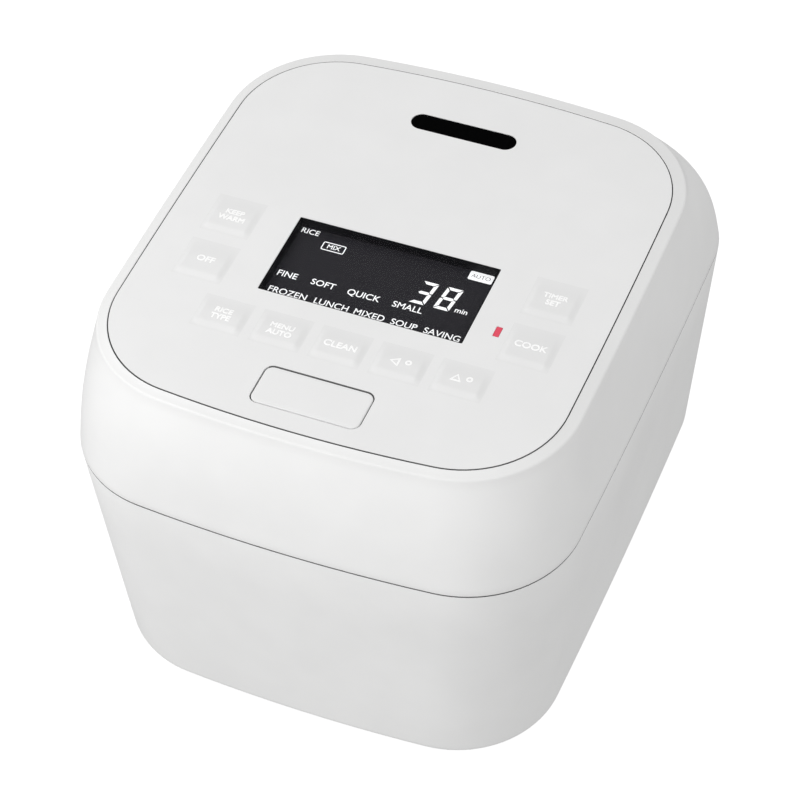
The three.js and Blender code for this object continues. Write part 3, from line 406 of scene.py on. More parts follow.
class Finish:
    """A material under construction."""

    def __init__(self, name):
        self.material = bpy.data.materials.new(name)
        self.material.use_nodes = True
        self.tree = self.material.node_tree
        self.tree.nodes.clear()
        coordinates = self.node("ShaderNodeTexCoord", output="Object")
        self.place = coordinates
        self.shader = self.tree.nodes.new("ShaderNodeBsdfPrincipled")
        output = self.tree.nodes.new("ShaderNodeOutputMaterial")
        self.tree.links.new(self.shader.outputs[0], output.inputs[0])

    def node(self, kind, settings=None, values=(), output=0):
        """Adds a node: its settings first, then the values or links of its sockets."""
        node = self.tree.nodes.new(kind)
        for key, value in (settings or {}).items():
            if key == "stops":
                for element, (position, colour) in zip(node.color_ramp.elements, value):
                    element.position = position
                    element.color = colour
            else:
                setattr(node, key, value)
        named = values.items() if isinstance(values, dict) else enumerate(values)
        for key, value in named:
            self.put(node.inputs[key], value)
        return Value(self, node.outputs[output])

    def put(self, socket, value):
        if isinstance(value, Value):
            self.tree.links.new(value.socket, socket)
        else:
            socket.default_value = value

    def set(self, **values):
        """Sets sockets of the shader, with spaces for underscores."""
        for key, value in values.items():
            self.put(self.shader.inputs[key.replace("_", " ")], value)
        return self

    def noise(self, grain, detail=2.0, stretch=None):
        """Noise of a grain size in millimetres, from 0 to 1; stretch lengthens it along the axes."""
        place = self.place
        if stretch:
            place = self.node("ShaderNodeMapping", {"vector_type": "POINT"}, {"Vector": place, "Scale": stretch})
        sockets = {"Vector": place, "Scale": 1 / (grain * MM), "Detail": detail}
        return self.node("ShaderNodeTexNoise", {}, sockets)

    def spots(self, size, edge):
        """Scattered soft dots, 1 inside each and 0 between them."""
        sockets = {"Vector": self.place, "Scale": 1 / (size * MM)}
        distance = self.node("ShaderNodeTexVoronoi", {}, sockets)
        return self.ramp(distance, edge, 0.0)

    def ramp(self, value, start, end):
        """0 at start to 1 at end, held beyond them."""
        sockets = {"Value": value, "From Min": start, "From Max": end}
        return self.node("ShaderNodeMapRange", {"interpolation_type": "SMOOTHSTEP"}, sockets)

    def mix(self, share, first, second):
        settings = {"data_type": "RGBA"}
        return self.node("ShaderNodeMix", settings, {0: share, 6: rgba(first), 7: rgba(second)}, output=2)

    def bump(self, height, depth, strength=1.0):
        """Relief of a depth in millimetres."""
        sockets = {"Height": height, "Distance": depth * MM, "Strength": strength}
        self.set(Normal=self.node("ShaderNodeBump", {}, sockets))
        return self

    def radius(self, centre):
        """Distance from an upright axis, in metres."""
        offset = self.node("ShaderNodeVectorMath", {"operation": "SUBTRACT"}, (self.place, centre))
        flat = self.node("ShaderNodeVectorMath", {"operation": "MULTIPLY"}, (offset, (1, 1, 0)))
        return self.node("ShaderNodeVectorMath", {"operation": "LENGTH"}, (flat,), output="Value")


def rgba(colour):
    if isinstance(colour, Value) or len(colour) == 4:
        return colour
    return (*colour, 1.0)


def shade(colour, factor):
    return tuple(c * factor for c in colour[:3])


def moulded(name, colour, roughness, texture=0.5, relief=0.012, spread=0.025, gloss=0.45):
    """Injection-moulded plastic: fine spark texture, faint flow marks and slightly uneven gloss."""
    finish = Finish(name)
    flow = finish.noise(70, 3.0)
    grain = finish.noise(texture, 3.0)
    smudge = finish.noise(18, 2.0)
    tone = finish.ramp(flow * 0.7 + smudge * 0.3, 0.3, 0.7)
    finish.set(
        Base_Color=finish.mix(tone, shade(colour, 1 - spread), shade(colour, 1 + spread * 0.4)),
        Roughness=roughness - 0.05 + smudge * 0.07 + grain * 0.04,
    )
    finish.shader.inputs["Specular IOR Level"].default_value = gloss
    return finish.bump(grain + flow * 0.5, relief).material


def printed(name, colour, glow=0.0):
    """Printed or lit characters, with a faint unevenness of the ink; `glow` gives emission, which is painted light on
    the unlit key and pot marks.
    """
    finish = Finish(name)
    ink = finish.ramp(finish.noise(0.8, 2.0), 0.2, 0.8)
    tint = finish.mix(ink, shade(colour, 0.97), colour)
    finish.set(Base_Color=tint, Roughness=0.35 + ink * 0.06)
    if glow:
        finish.set(Emission_Color=tint)
        finish.shader.inputs["Emission Strength"].default_value = glow
    return finish.material


def metal(name, colour, roughness, stretch=(1, 1, 1), grain=0.6, relief=0.004):
    """Plated or pressed metal with drawn or brushed lines, and handling marks."""
    finish = Finish(name)
    lines = finish.noise(grain, 4.0, stretch)
    marks = finish.noise(9, 3.0)
    finish.set(
        Base_Color=finish.mix(lines, shade(colour, 0.86), shade(colour, 1.05)),
        Roughness=roughness - 0.06 + lines * 0.1 + marks * 0.06,
        Metallic=1.0,
    )
    return finish.bump(lines, relief).material


def spun_metal(name, colour, roughness, centre):
    """Sheet metal with the fine rings of a lathe."""
    finish = Finish(name)
    ring = finish.radius(centre)
    waver = finish.noise(14, 2.0)
    phase = ring * 5200 + waver * 3
    rings = phase.math("SINE", phase) * 0.5 + 0.5
    finish.set(
        Base_Color=finish.mix(rings * 0.5 + waver * 0.5, shade(colour, 0.9), shade(colour, 1.04)),
        Roughness=roughness + rings * 0.08 + waver * 0.05,
        Metallic=1.0,
    )
    return finish.bump(rings, 0.003).material


def coated(name, colour):
    """Non-stick coating: dark, with fine pale flecks and a soft sheen."""
    finish = Finish(name)
    flecks = finish.spots(1.7, 0.16)
    cloud = finish.noise(22, 3.0)
    base = finish.mix(cloud, shade(colour, 0.85), shade(colour, 1.2))
    finish.set(
        Base_Color=finish.mix(flecks * 0.55, base, (0.42, 0.41, 0.4)),
        Roughness=0.34 + cloud * 0.08 - flecks * 0.05,
    )
    finish.shader.inputs["Coat Roughness"].default_value = 0.25
    finish.set(Coat_Weight=0.2 + cloud * 0.1)
    return finish.bump(finish.noise(0.35, 2.0), 0.008).material


def elastic(name, colour, roughness=0.7):
    """Rubber or silicone: dusty bloom and a fine matt grain."""
    finish = Finish(name)
    bloom = finish.ramp(finish.noise(6, 3.0), 0.35, 0.75)
    grain = finish.noise(0.25, 2.0)
    finish.set(
        Base_Color=finish.mix(bloom, shade(colour, 0.88), shade(colour, 1.15)),
        Roughness=roughness + bloom * 0.1 - grain * 0.04,
    )
    return finish.bump(grain, 0.01).material


def winding(name, colour, pitch):
    """Varnished wire wound in rings of a pitch in millimetres."""
    finish = Finish(name)
    ring = finish.radius((0, POT_Y * MM, 0)) * (2 * math.pi / (pitch * MM))
    turns = ring.math("SINE", ring) * 0.5 + 0.5
    strands = finish.noise(0.5, 3.0)
    finish.set(
        # painted shade: the base colour darkens to about a third of the copper in the grooves between the turns
        Base_Color=finish.mix(turns, shade(colour, 0.35), colour),
        Roughness=0.4 + strands * 0.15,
        Metallic=turns * 0.6,
    )
    return finish.bump(turns + strands * 0.2, 0.5).material


def laminate(name, colour):
    """A circuit board: solder mask over raised copper tracks, with tinned pads."""
    finish = Finish(name)
    cells = {"Vector": finish.place, "Scale": 260.0}
    tracks = finish.node("ShaderNodeTexBrick", {"offset": 0.5}, {**cells, "Mortar Size": 0.03}, output="Fac")
    pads = finish.spots(3.6, 0.2)
    mask = finish.mix(tracks * 0.5, colour, shade(colour, 2.0))
    finish.set(
        Base_Color=finish.mix(pads, mask, (0.62, 0.63, 0.64)),
        Roughness=0.42 - pads * 0.12 + finish.noise(2, 2.0) * 0.06,
        Metallic=pads * 0.8,
    )
    return finish.bump(tracks + pads, 0.04).material


def clear_window(name):
    """The clear cover over the display, a little tinted."""
    finish = Finish(name)
    wipe = finish.ramp(finish.noise(11, 3.0, (1, 3, 1)), 0.35, 0.8)
    finish.set(
        Base_Color=finish.mix(wipe, (0.012, 0.012, 0.016), (0.02, 0.02, 0.026)),
        Roughness=0.07 + wipe * 0.05,
        Alpha=0.1 + wipe * 0.02,
    )
    finish.shader.inputs["Specular IOR Level"].default_value = 0.3
    return finish.material


def crystal(name, colour):
    """The display's dark field: faint cells and a slight unevenness."""
    finish = Finish(name)
    cell = {"Vector": finish.place, "Scale": 900.0, "Mortar Size": 0.02}
    grid = finish.node("ShaderNodeTexBrick", {"offset": 0.0}, cell, output="Fac")
    cloud = finish.noise(24, 2.0)
    finish.set(
        Base_Color=finish.mix(cloud * 0.7 + grid * 0.2, colour, shade(colour, 1.25)),
        Roughness=0.38 + cloud * 0.08,
    )
    finish.shader.inputs["Specular IOR Level"].default_value = 0.12
    return finish.material


def pale_floor(name):
    """The stage: a matt, nearly white sweep."""
    finish = Finish(name)
    mottle = finish.noise(160, 3.0)
    tint = finish.mix(mottle, (0.955, 0.955, 0.955), (0.97, 0.97, 0.97))
    finish.set(Base_Color=finish.mix(mottle, (0.2, 0.2, 0.2), (0.22, 0.22, 0.22)), Roughness=0.9, Emission_Color=tint)
    finish.shader.inputs["Emission Strength"].default_value = 0.97
    finish.shader.inputs["Specular IOR Level"].default_value = 0.0
    return finish.material


FINISHES = {}


def make_finishes(settings):
    white, film = settings.casing_colour, settings.panel_colour
    FINISHES.update(
        white_shell=moulded("white_casing", white, settings.casing_roughness),
        white_panel=moulded("white_film", film, settings.panel_roughness, 0.4, 0.006, 0.02),
        white_key=moulded("white_key", shade(film, 0.965), settings.panel_roughness, 0.4, 0.006, 0.02),
        white_button=moulded("white_button", film, settings.panel_roughness, 0.4, 0.006, 0.02),
        # painted light: the white key and pot marks glow a little, though nothing lights them
        mark=printed("key_marks", (0.99, 0.99, 0.985), 0.12),
        # painted shade: a dark grey for the faces inside the seams and gaps, standing in for the shadow that falls
        # there
        seam=moulded("seam_shadow", (0.26, 0.26, 0.263), 0.7, 0.5, 0.01, 0.05, 0.1),
        lit=printed("display_marks", (0.93, 0.94, 0.95), 0.8),
        display=crystal("display_field", settings.display_colour),
        window=clear_window("display_cover"),
        surround=moulded("black_surround", (0.005, 0.005, 0.006), 0.55, 0.4, 0.008, 0.1, 0.1),
        grey_plastic=moulded("grey_moulding", (0.36, 0.365, 0.37), 0.5, 0.6, 0.02, 0.06),
        black_plastic=moulded("black_moulding", (0.022, 0.022, 0.024), 0.42, 0.5, 0.015, 0.1),
        # partly painted shade: a black moulding made far darker than the other black plastic, so the deep duct stays
        # as black as the shade inside it
        slot_black=moulded("black_outlet_and_shade", (0.0012, 0.0012, 0.0014), 0.5, 0.5, 0.006, 0.1, 0.02),
        red_lens=printed("red_lens", (0.76, 0.06, 0.11), 0.1),
        rubber_foot=elastic("foot_rubber", (0.07, 0.07, 0.073)),
        silicone=elastic("seal_silicone", (0.46, 0.46, 0.465), 0.5),
        steel=metal("plated_steel", (0.56, 0.57, 0.59), 0.3, (1, 6, 1)),
        aluminium=metal("pressed_aluminium", (0.7, 0.71, 0.72), 0.32, (8, 1, 1)),
        spun=spun_metal("spun_aluminium", (0.72, 0.73, 0.74), 0.24, (0, POT_Y * MM, 0)),
        coated_pot=coated("pot_coating", (0.045, 0.045, 0.048)),
        copper=winding("copper_winding", (0.6, 0.25, 0.1), 2.4),
        ferrite=elastic("sintered_ferrite", (0.05, 0.05, 0.053), 0.6),
        board_green=laminate("circuit_board", (0.02, 0.12, 0.05)),
        floor=pale_floor("pale_floor"),
    )


# ---- Settings -----------------------------------------------------------------------------------------


def colour_property(name, description, default):
    return FloatVectorProperty(
        name=name, description=description, default=default, subtype="COLOR", size=3, min=0, max=1
    )


class RiceCookerSettings(bpy.types.PropertyGroup):
    """Colours and sizes that a user may change before building."""

    casing_colour: colour_property("Casing", "Colour of the body and lid casings", (0.87, 0.87, 0.866))
    casing_roughness: FloatProperty(
        name="Casing roughness", description="Gloss of the casings", default=0.4, min=0.05, max=1
    )
    panel_colour: colour_property("Panel", "Colour of the control panel, keys and button", (0.88, 0.88, 0.878))
    panel_roughness: FloatProperty(
        name="Panel roughness", description="Gloss of the control panel", default=0.36, min=0.05, max=1
    )
    display_colour: colour_property("Display", "Colour of the display's dark field", (0.025, 0.024, 0.029))
    key_rise: FloatProperty(
        name="Key rise",
        description="Height of a key above the panel",
        default=1.15 * MM,
        min=0.2 * MM,
        max=2 * MM,
        unit="LENGTH",
        precision=4,
    )
    key_dish: FloatProperty(
        name="Key dish",
        description="Depth of the hollow across a key's top",
        default=0.35 * MM,
        min=0,
        max=0.8 * MM,
        unit="LENGTH",
        precision=4,
    )
    seam_round: FloatProperty(
        name="Seam rounding",
        description="Rounding of the casings' edges at the seam",
        default=0.25 * MM,
        min=0.1 * MM,
        max=1 * MM,
        unit="LENGTH",
        precision=4,
    )


def settings_of(context):
    return context.scene.rice_cooker


# ---- Casings ------------------------------------------------------------------------------------------


def rounding(inset, rise, steps):
    """Pairs from (inset, 0) round to (0, rise), for a rounded edge."""
    angles = [math.pi / 2 * i / steps for i in range(steps + 1)]
    return [(inset * (1 - math.sin(a)), rise * (1 - math.cos(a))) for a in angles]


class RICECOOKER_OT_body_casing(bpy.types.Operator):
    """Builds the tapered lower casing with its air outlet, inlet opening and hinge recess"""

    bl_idname = "rice_cooker.body_casing"
    bl_label = "Body Casing"

    def execute(self, context):
        seam_round = settings_of(context).seam_round / MM

        def plan_at(z):
            return between(BASE_PLAN, SEAM_PLAN, (z - BODY_BOTTOM) / (SEAM_Z - BODY_BOTTOM))

        rings = []
        for inset, rise in rounding(2.2, 4.0, 6):
            z = BODY_BOTTOM + rise
            rings.append(at(outline(plan_at(z), inset), z))
        for share in (0.25, 0.5, 0.75):
            z = BODY_BOTTOM + (BODY_TOP - BODY_BOTTOM) * share
            rings.append(at(outline(plan_at(z)), z))
        for inset, rise in reversed(rounding(seam_round, seam_round, 3)):
            z = BODY_TOP - rise
            rings.append(at(outline(plan_at(z), inset), z))
        rings.append(at(outline(plan_at(BODY_TOP), WALL), BODY_TOP))
        rings.append(at(outline(plan_at(BODY_BOTTOM), WALL), BODY_BOTTOM))
        bm = bmesh.new()
        loft(bm, rings, closed=True)

        cutters = bmesh.new()
        cuboid(cutters, (66.8, 30, 24), (0, REAR, BODY_TOP))
        cuboid(cutters, (30.8, 30, 20.8), (46, REAR, 32))
        for i in range(8):
            x = -46 + 6.4 * (i - 3.5)
            ends = rounded_rectangle((3, 24), 1.49, (x, 52), steps=5)
            loft(cutters, [[(px, y, pz) for px, pz in ends] for y in (REAR - 15, REAR + 15)], caps=True)
        bm = carve(bm, cutters)
        # painted shade: the body's top face at the seam takes the dark seam finish
        tint(bm, 1, lambda middle, normal: normal.z > 0.9 and middle.z > BODY_TOP - 0.05)
        finishes = [FINISHES["white_shell"], FINISHES["seam"]]
        piece("body_casing", bm, finishes, "base", ["body_shell"])
        return {"FINISHED"}


def panel_height(y):
    return PANEL_Z + math.tan(PANEL_TILT) * y


def lip_top(y):
    return panel_height(y) - LIP_DROP


class RICECOOKER_OT_lid_casing(bpy.types.Operator):
    """Builds the lid casing: the walls, the rim round the panel and the ledge under it"""

    bl_idname = "rice_cooker.lid_casing"
    bl_label = "Lid Casing"

    def execute(self, context):
        seam_round = settings_of(context).seam_round / MM

        def wall(share, inset=0.0, lift=0.0):
            shape = between(LIP_PLAN, SEAM_PLAN, share + WALL_BULGE * math.sin(math.pi * share))

            def height(y):
                top = lip_top(y) - LIP_ROUND
                return top + (LID_BOTTOM - top) * share + lift

            return at(outline(shape, inset), height)

        def ledge(y, drop=0.0):
            return panel_height(y) - 2.5 - drop

        rings = [wall(1, inset, rise) for inset, rise in rounding(seam_round, seam_round, 3)]
        rings += [wall(1 - i / 14) for i in range(1, 14)]
        rim = rounding(LIP_ROUND, LIP_ROUND, 6)
        for inset, rise in reversed(rim):
            rings.append(at(outline(LIP_PLAN, inset), lambda y, rise=rise: lip_top(y) - rise))
        edge = 0.22
        crest = outline(PANEL_PLAN, -0.25 - edge)
        rings.append(at(crest, lambda y: panel_height(y) - 0.02))
        rings.append(at(outline(PANEL_PLAN, -0.25), lambda y: panel_height(y) - edge))
        rings.append(at(outline(PANEL_PLAN, -0.25), ledge))
        rings.append(at(outline(PANEL_PLAN, 4), ledge))
        rings.append(at(outline(PANEL_PLAN, 4), lambda y: ledge(y, 2)))
        rings.append(at(outline(LIP_PLAN, 1.2 * WALL), lambda y: ledge(y, 3)))
        rings.append(wall(0.4, WALL))
        rings.append(wall(1, WALL))
        bm = bmesh.new()
        loft(bm, rings, closed=True)

        cutters = bmesh.new()
        cuboid(cutters, (73.2, 40, 2 * (HINGE_Z + 8.8 - LID_BOTTOM)), (0, REAR, LID_BOTTOM))
        bm = carve(bm, cutters)

        # painted shade: the panel recess walls, the recess floor and the lid's underside take the dark seam finish
        def in_seam(middle, normal):
            depth = panel_height(middle.y) - middle.z
            inwards = normal.x * middle.x + normal.y * middle.y < 0
            recess = 0.2 < depth < 2.5 and abs(normal.z) < 0.3 and inwards
            floor = 2.3 < depth < 2.7 and normal.z > 0.9
            return recess or floor or (normal.z < -0.9 and middle.z < LID_BOTTOM + 0.05)

        tint(bm, 1, in_seam)
        finishes = [FINISHES["white_shell"], FINISHES["seam"]]
        piece("lid_casing", bm, finishes, "lid", ["lid_shell"])
        return {"FINISHED"}


# ---- Panel, keys, button, display and steam outlet ------------------------------------------------------


class RICECOOKER_OT_control_panel(bpy.types.Operator):
    """Builds the inset control panel with its openings"""

    bl_idname = "rice_cooker.control_panel"
    bl_label = "Control Panel"

    def execute(self, context):
        clearance = 0.005
        holes = [
            rounded_rectangle(DISPLAY, 0.6, (0, DISPLAY_Y), steps=3),
            rounded_rectangle(SLOT, SLOT[1] / 2, (0, SLOT_Y), -2.15, 12),
            rounded_rectangle(BUTTON, BUTTON_CORNER, (0, BUTTON_Y)),
            rounded_rectangle((3.0, 6.2), 0.3, INDICATOR, steps=3),
        ]
        for x, y, depth in KEYS.values():
            holes.append(rounded_rectangle((KEY_W + 2 * clearance, depth + 2 * clearance), 0.02, (x, y), steps=1))
        bm = bmesh.new()
        add_mesh(bm, flat_shape([outline(PANEL_PLAN, 0.25), *holes], -2.2, 0))
        bmesh.ops.remove_doubles(bm, verts=bm.verts, dist=1e-4)
        bmesh.ops.recalc_face_normals(bm, faces=bm.faces)
        # painted shade: the panel's outer edge walls take the dark seam finish
        tint(bm, 1, lambda middle, normal: abs(normal.z) < 0.3 and normal.x * middle.x + normal.y * middle.y > 60)
        finishes = [FINISHES["white_panel"], FINISHES["seam"]]
        piece("control_panel", bm, finishes, "lid", ["top_panel"], deck=True)
        return {"FINISHED"}


def swell(distance, width):
    """0 at an edge to 1 at a width inside it, smoothly."""
    share = min(max(distance / width, 0.0), 1.0)
    return share * share * (3 - 2 * share)


def pad_height(x, y, depth, rise, dish):
    """Height of a key's moulded top over its own middle."""
    a, b = KEY_W / 2, depth / 2
    hollow = dish * (1 - (x / a) ** 2)
    sides = swell(a - abs(x), 3.4)
    ends = swell(y + b, 4.6) * swell(b - y, 0.55 * depth)
    return (rise - hollow) * sides * ends


KEY_WORDS = {
    "keep_warm": (("KEEP", 1.9), ("WARM", -2.3)),
    "off": (("OFF", 0.0),),
    "timer": (("TIMER", 1.9), ("SET", -2.3)),
    "cook": (("COOK", 0.0),),
    "rice": (("RICE", 1.9), ("TYPE", -2.3)),
    "menu": (("MENU", 1.9), ("AUTO", -2.3)),
    "clean": (("CLEAN", 0.0),),
    "hour": (),
    "minute": (),
}


def arrow(direction, centre):
    """A hollow triangle that points left (-1) or up (1), with a small ring beside it."""
    x, y = centre
    tip = Vector((-1, 0)) if direction < 0 else Vector((0, 1))
    side = Vector((tip.y, -tip.x))
    middle = Vector((x - 2.4, y))

    def triangle(scale):
        ends = (tip * 2.6, side * 2.6 - tip * 1.8, -side * 2.6 - tip * 1.8)
        return [tuple(middle + scale * end) for end in ends]

    dot = Vector((x + 3.4, y + 1))
    ring = [tuple(p) for p in arc(dot, 1.5, 0, 2 * math.pi, 20)]
    bore = [tuple(p) for p in arc(dot, 0.8, 0, 2 * math.pi, 20)]
    return [[triangle(1), triangle(0.62)], [ring, bore]]


class RICECOOKER_OT_keys(bpy.types.Operator):
    """Builds the nine moulded keys and the raised marks on them"""

    bl_idname = "rice_cooker.keys"
    bl_label = "Keys"

    def execute(self, context):
        settings = settings_of(context)
        rise, dish = settings.key_rise / MM, settings.key_dish / MM
        for name, (x, y, depth) in KEYS.items():
            bm = bmesh.new()
            scale = Matrix.Diagonal((KEY_W / 2, depth / 2, 1, 1))
            bmesh.ops.create_grid(bm, x_segments=40, y_segments=40, size=1, matrix=scale)
            for vert in bm.verts:
                vert.co.z = pad_height(vert.co.x, vert.co.y, depth, rise, dish)
            rim = [edge for edge in bm.edges if edge.is_boundary]
            skirt = bmesh.ops.extrude_edge_only(bm, edges=rim)["geom"]
            lower = [item for item in skirt if isinstance(item, bmesh.types.BMVert)]
            bmesh.ops.translate(bm, vec=(0, 0, -2.4), verts=lower)
            bmesh.ops.contextual_create(bm, geom=[e for e in bm.edges if e.is_boundary])
            bmesh.ops.recalc_face_normals(bm, faces=bm.faces)
            bmesh.ops.translate(bm, vec=(x, y, 0), verts=bm.verts)
            finishes = [FINISHES["white_key"]]
            piece(f"pad_{name}", bm, finishes, name, [f"key_{name}"], 40.0, deck=True)
            self.add_marks(name, x, y, depth, rise, dish)
        return {"FINISHED"}

    def add_marks(self, name, x, y, depth, rise, dish):
        bm = bmesh.new()
        for words, lift in KEY_WORDS[name]:
            size = 5.0 if len(KEY_WORDS[name]) == 1 else 4.2
            add_mesh(bm, lettering(words, size, 0.12, 0.09), Matrix.Translation((0, lift, 0)))
        if not KEY_WORDS[name]:
            for outlines in arrow(-1 if name == "hour" else 1, (0, 0)):
                add_mesh(bm, flat_shape(outlines, -0.06, 0.06))
        for vert in bm.verts:
            vert.co.z += pad_height(vert.co.x, vert.co.y, depth, rise, dish) + 0.02
        bmesh.ops.remove_doubles(bm, verts=bm.verts, dist=1e-4)
        bmesh.ops.recalc_face_normals(bm, faces=bm.faces)
        bmesh.ops.translate(bm, vec=(x, y, 0), verts=bm.verts)
        # painted light: the key marks glow a little
        piece(f"marks_{name}", bm, [FINISHES["mark"]], name, deck=True)


class RICECOOKER_OT_open_button(bpy.types.Operator):
    """Builds the push-to-open button and the post under it"""

    bl_idname = "rice_cooker.open_button"
    bl_label = "Open Button"

    def execute(self, context):
        def ring(inset, z):
            return at(rounded_rectangle(BUTTON, BUTTON_CORNER, (0, BUTTON_Y), inset + 0.6), z)

        rings = [ring(0.8, -6), ring(0, -5)]
        rings += [ring(inset, -rise) for inset, rise in reversed(rounding(0.7, 0.7, 5))]
        rings.append(ring(3, 0.0))
        bm = bmesh.new()
        loft(bm, rings, caps=True)
        post = bmesh.new()
        low, _ = corners("open_button")
        foot = low.z - PANEL_Z + 3.4
        lathe(post, [(0, -5.8), (3, -5.8), (3, foot), (0, foot - 0.4)], (0, BUTTON_Y + 6), 24)
        mesh = bpy.data.meshes.new("post")
        post.to_mesh(mesh)
        post.free()
        add_mesh(bm, mesh)
        # painted shade: the button's sides take the dark seam finish
        tint(bm, 1, lambda middle, normal: abs(normal.z) < 0.3 and middle.z < -0.7)
        finishes = [FINISHES["white_button"], FINISHES["seam"]]
        piece("open_button_cap", bm, finishes, "button", ["open_button"], deck=True)
        return {"FINISHED"}


def bars(digit, place, height):
    """Slanted bars of a seven-bar digit, as outlines."""
    lit = {"3": "abcdg", "8": "abcdefg"}[digit]
    width, thick, gap, lean = height * 0.52, height * 0.115, height * 0.018, 0.14
    w, h, t = width / 2, height / 2, thick
    long, short, tip = w - gap, w - t - gap, w - t / 2 - gap

    def turned(points, sx, sy):
        return [(px * sx, py * sy) for px, py in points]

    top = [(-long, h), (long, h), (short, h - t), (-short, h - t)]
    right = [(w, h - gap * 2), (w, gap * 2), (w - t / 2, gap), (w - t, t / 2 + gap), (w - t, h - t - gap * 2)]
    half = t / 2
    middle = [(-short, half), (short, half), (tip, 0), (short, -half), (-short, -half), (-tip, 0)]
    shapes = {"a": top, "b": right, "g": middle}
    for bar, source, sx, sy in (("d", "a", 1, -1), ("c", "b", 1, -1), ("f", "b", -1, 1), ("e", "b", -1, -1)):
        shapes[bar] = turned(shapes[source], sx, sy)
    x, y = place
    return [[[(x + px + lean * py, y + py) for px, py in shapes[bar]]] for bar in lit]


class RICECOOKER_OT_display(bpy.types.Operator):
    """Builds the sunken display: black surround, dark field and lit characters"""

    bl_idname = "rice_cooker.display"
    bl_label = "Display"

    def execute(self, context):
        bm = bmesh.new()
        deep = -DISPLAY_DEPTH

        def ring(inset, z):
            return at(rounded_rectangle(DISPLAY, 0.6, (0, DISPLAY_Y), inset, 3), z)

        profile = ((1.2, -10.9), (1.2, -6), (0.12, -5.5), (0.12, -0.12), (0.5, -0.12), (0.9, deep))
        loft(bm, [ring(*step) for step in profile], caps=True)
        tint(bm, 1, lambda middle, normal: abs(middle.z - deep) < 0.01 and abs(middle.x) < 1)
        finishes = [FINISHES["surround"], FINISHES["display"]]
        piece("display_well", bm, finishes, "lid", ["display_module"], deck=True)

        marks = bmesh.new()
        words = [
            ("RICE", 4.4, -43.0, 20.9),
            ("MIX", 3.7, -29.0, 15.0),
            ("FINE", 5.0, -41.9, -8.0),
            ("SOFT", 5.0, -24.3, -8.0),
            ("QUICK", 5.0, -4.6, -8.3),
            ("SMALL", 5.0, 16.6, -8.3),
            ("FROZEN", 5.0, -37.2, -18.6),
            ("LUNCH", 5.0, -15.9, -18.6),
            ("MIXED", 5.0, 2.4, -18.6),
            ("SOUP", 5.0, 19.0, -18.6),
            ("SAVING", 5.0, 37.2, -18.6),
            ("min", 4.2, 40.0, -2.3),
        ]
        for text, size, x, y in words:
            add_mesh(marks, lettering(text, size, 0.1, 0.04), Matrix.Translation((x, y, 0)))
        badge = (11.2, 5.2)
        lines = [rounded_rectangle(badge, 0.8, (-29.0, 15.0), inset, 4) for inset in (0, 0.45)]
        add_mesh(marks, flat_shape(lines, -0.05, 0.05))
        for digit, place in (("3", (20.2, 2.7)), ("8", (31.8, 2.9))):
            for outlines in bars(digit, place, 14.3):
                add_mesh(marks, flat_shape(outlines, -0.05, 0.05))
        filled = bmesh.new()
        add_mesh(filled, flat_shape([rounded_rectangle((11.4, 5.4), 0.8, (40.7, 20.5), steps=4)], -0.05, 0.05))
        letters = bmesh.new()
        add_mesh(letters, lettering("AUTO", 3.3, 1.0), Matrix.Translation((40.7, 20.5, 0)))
        mesh = bpy.data.meshes.new("badge")
        carved = carve(filled, letters)
        carved.to_mesh(mesh)
        carved.free()
        add_mesh(marks, mesh)
        bmesh.ops.remove_doubles(marks, verts=marks.verts, dist=1e-4)
        bmesh.ops.recalc_face_normals(marks, faces=marks.faces)
        bmesh.ops.translate(marks, vec=(0, DISPLAY_Y, deep + 0.07), verts=marks.verts)
        piece("display_characters", marks, [FINISHES["lit"]], "lid", deck=True)
        return {"FINISHED"}


class RICECOOKER_OT_steam_outlet(bpy.types.Operator):
    """Builds the steam slot's lining and the duct below it"""

    bl_idname = "rice_cooker.steam_outlet"
    bl_label = "Steam Outlet"

    def execute(self, context):
        def ring(inset, z):
            return at(rounded_rectangle(SLOT, SLOT[1] / 2, (0, SLOT_Y), inset, 12), z)

        profile = ((-2, -50), (-2, -0.25), (-1.85, -0.1), (-1.6, -0.1), (-1.4, -0.2), (0, -2.2), (0, -50))
        bm = bmesh.new()
        loft(bm, [ring(*step) for step in profile], closed=True)
        # partly painted shade: the lining and the duct take the near-lightless black
        piece("steam_outlet", bm, [FINISHES["slot_black"]], "lid", ["steam_duct"], deck=True)
        return {"FINISHED"}


# ---- Pot, seal and inner lid ------------------------------------------------------------------------------


def bend(radius, centre, start, end, steps=10):
    """Points of a rounded corner in a profile, angles in degrees."""
    points = []
    for i in range(steps + 1):
        a = math.radians(start + (end - start) * i / steps)
        points.append((centre[0] + radius * math.cos(a), centre[1] + radius * math.sin(a)))
    return points


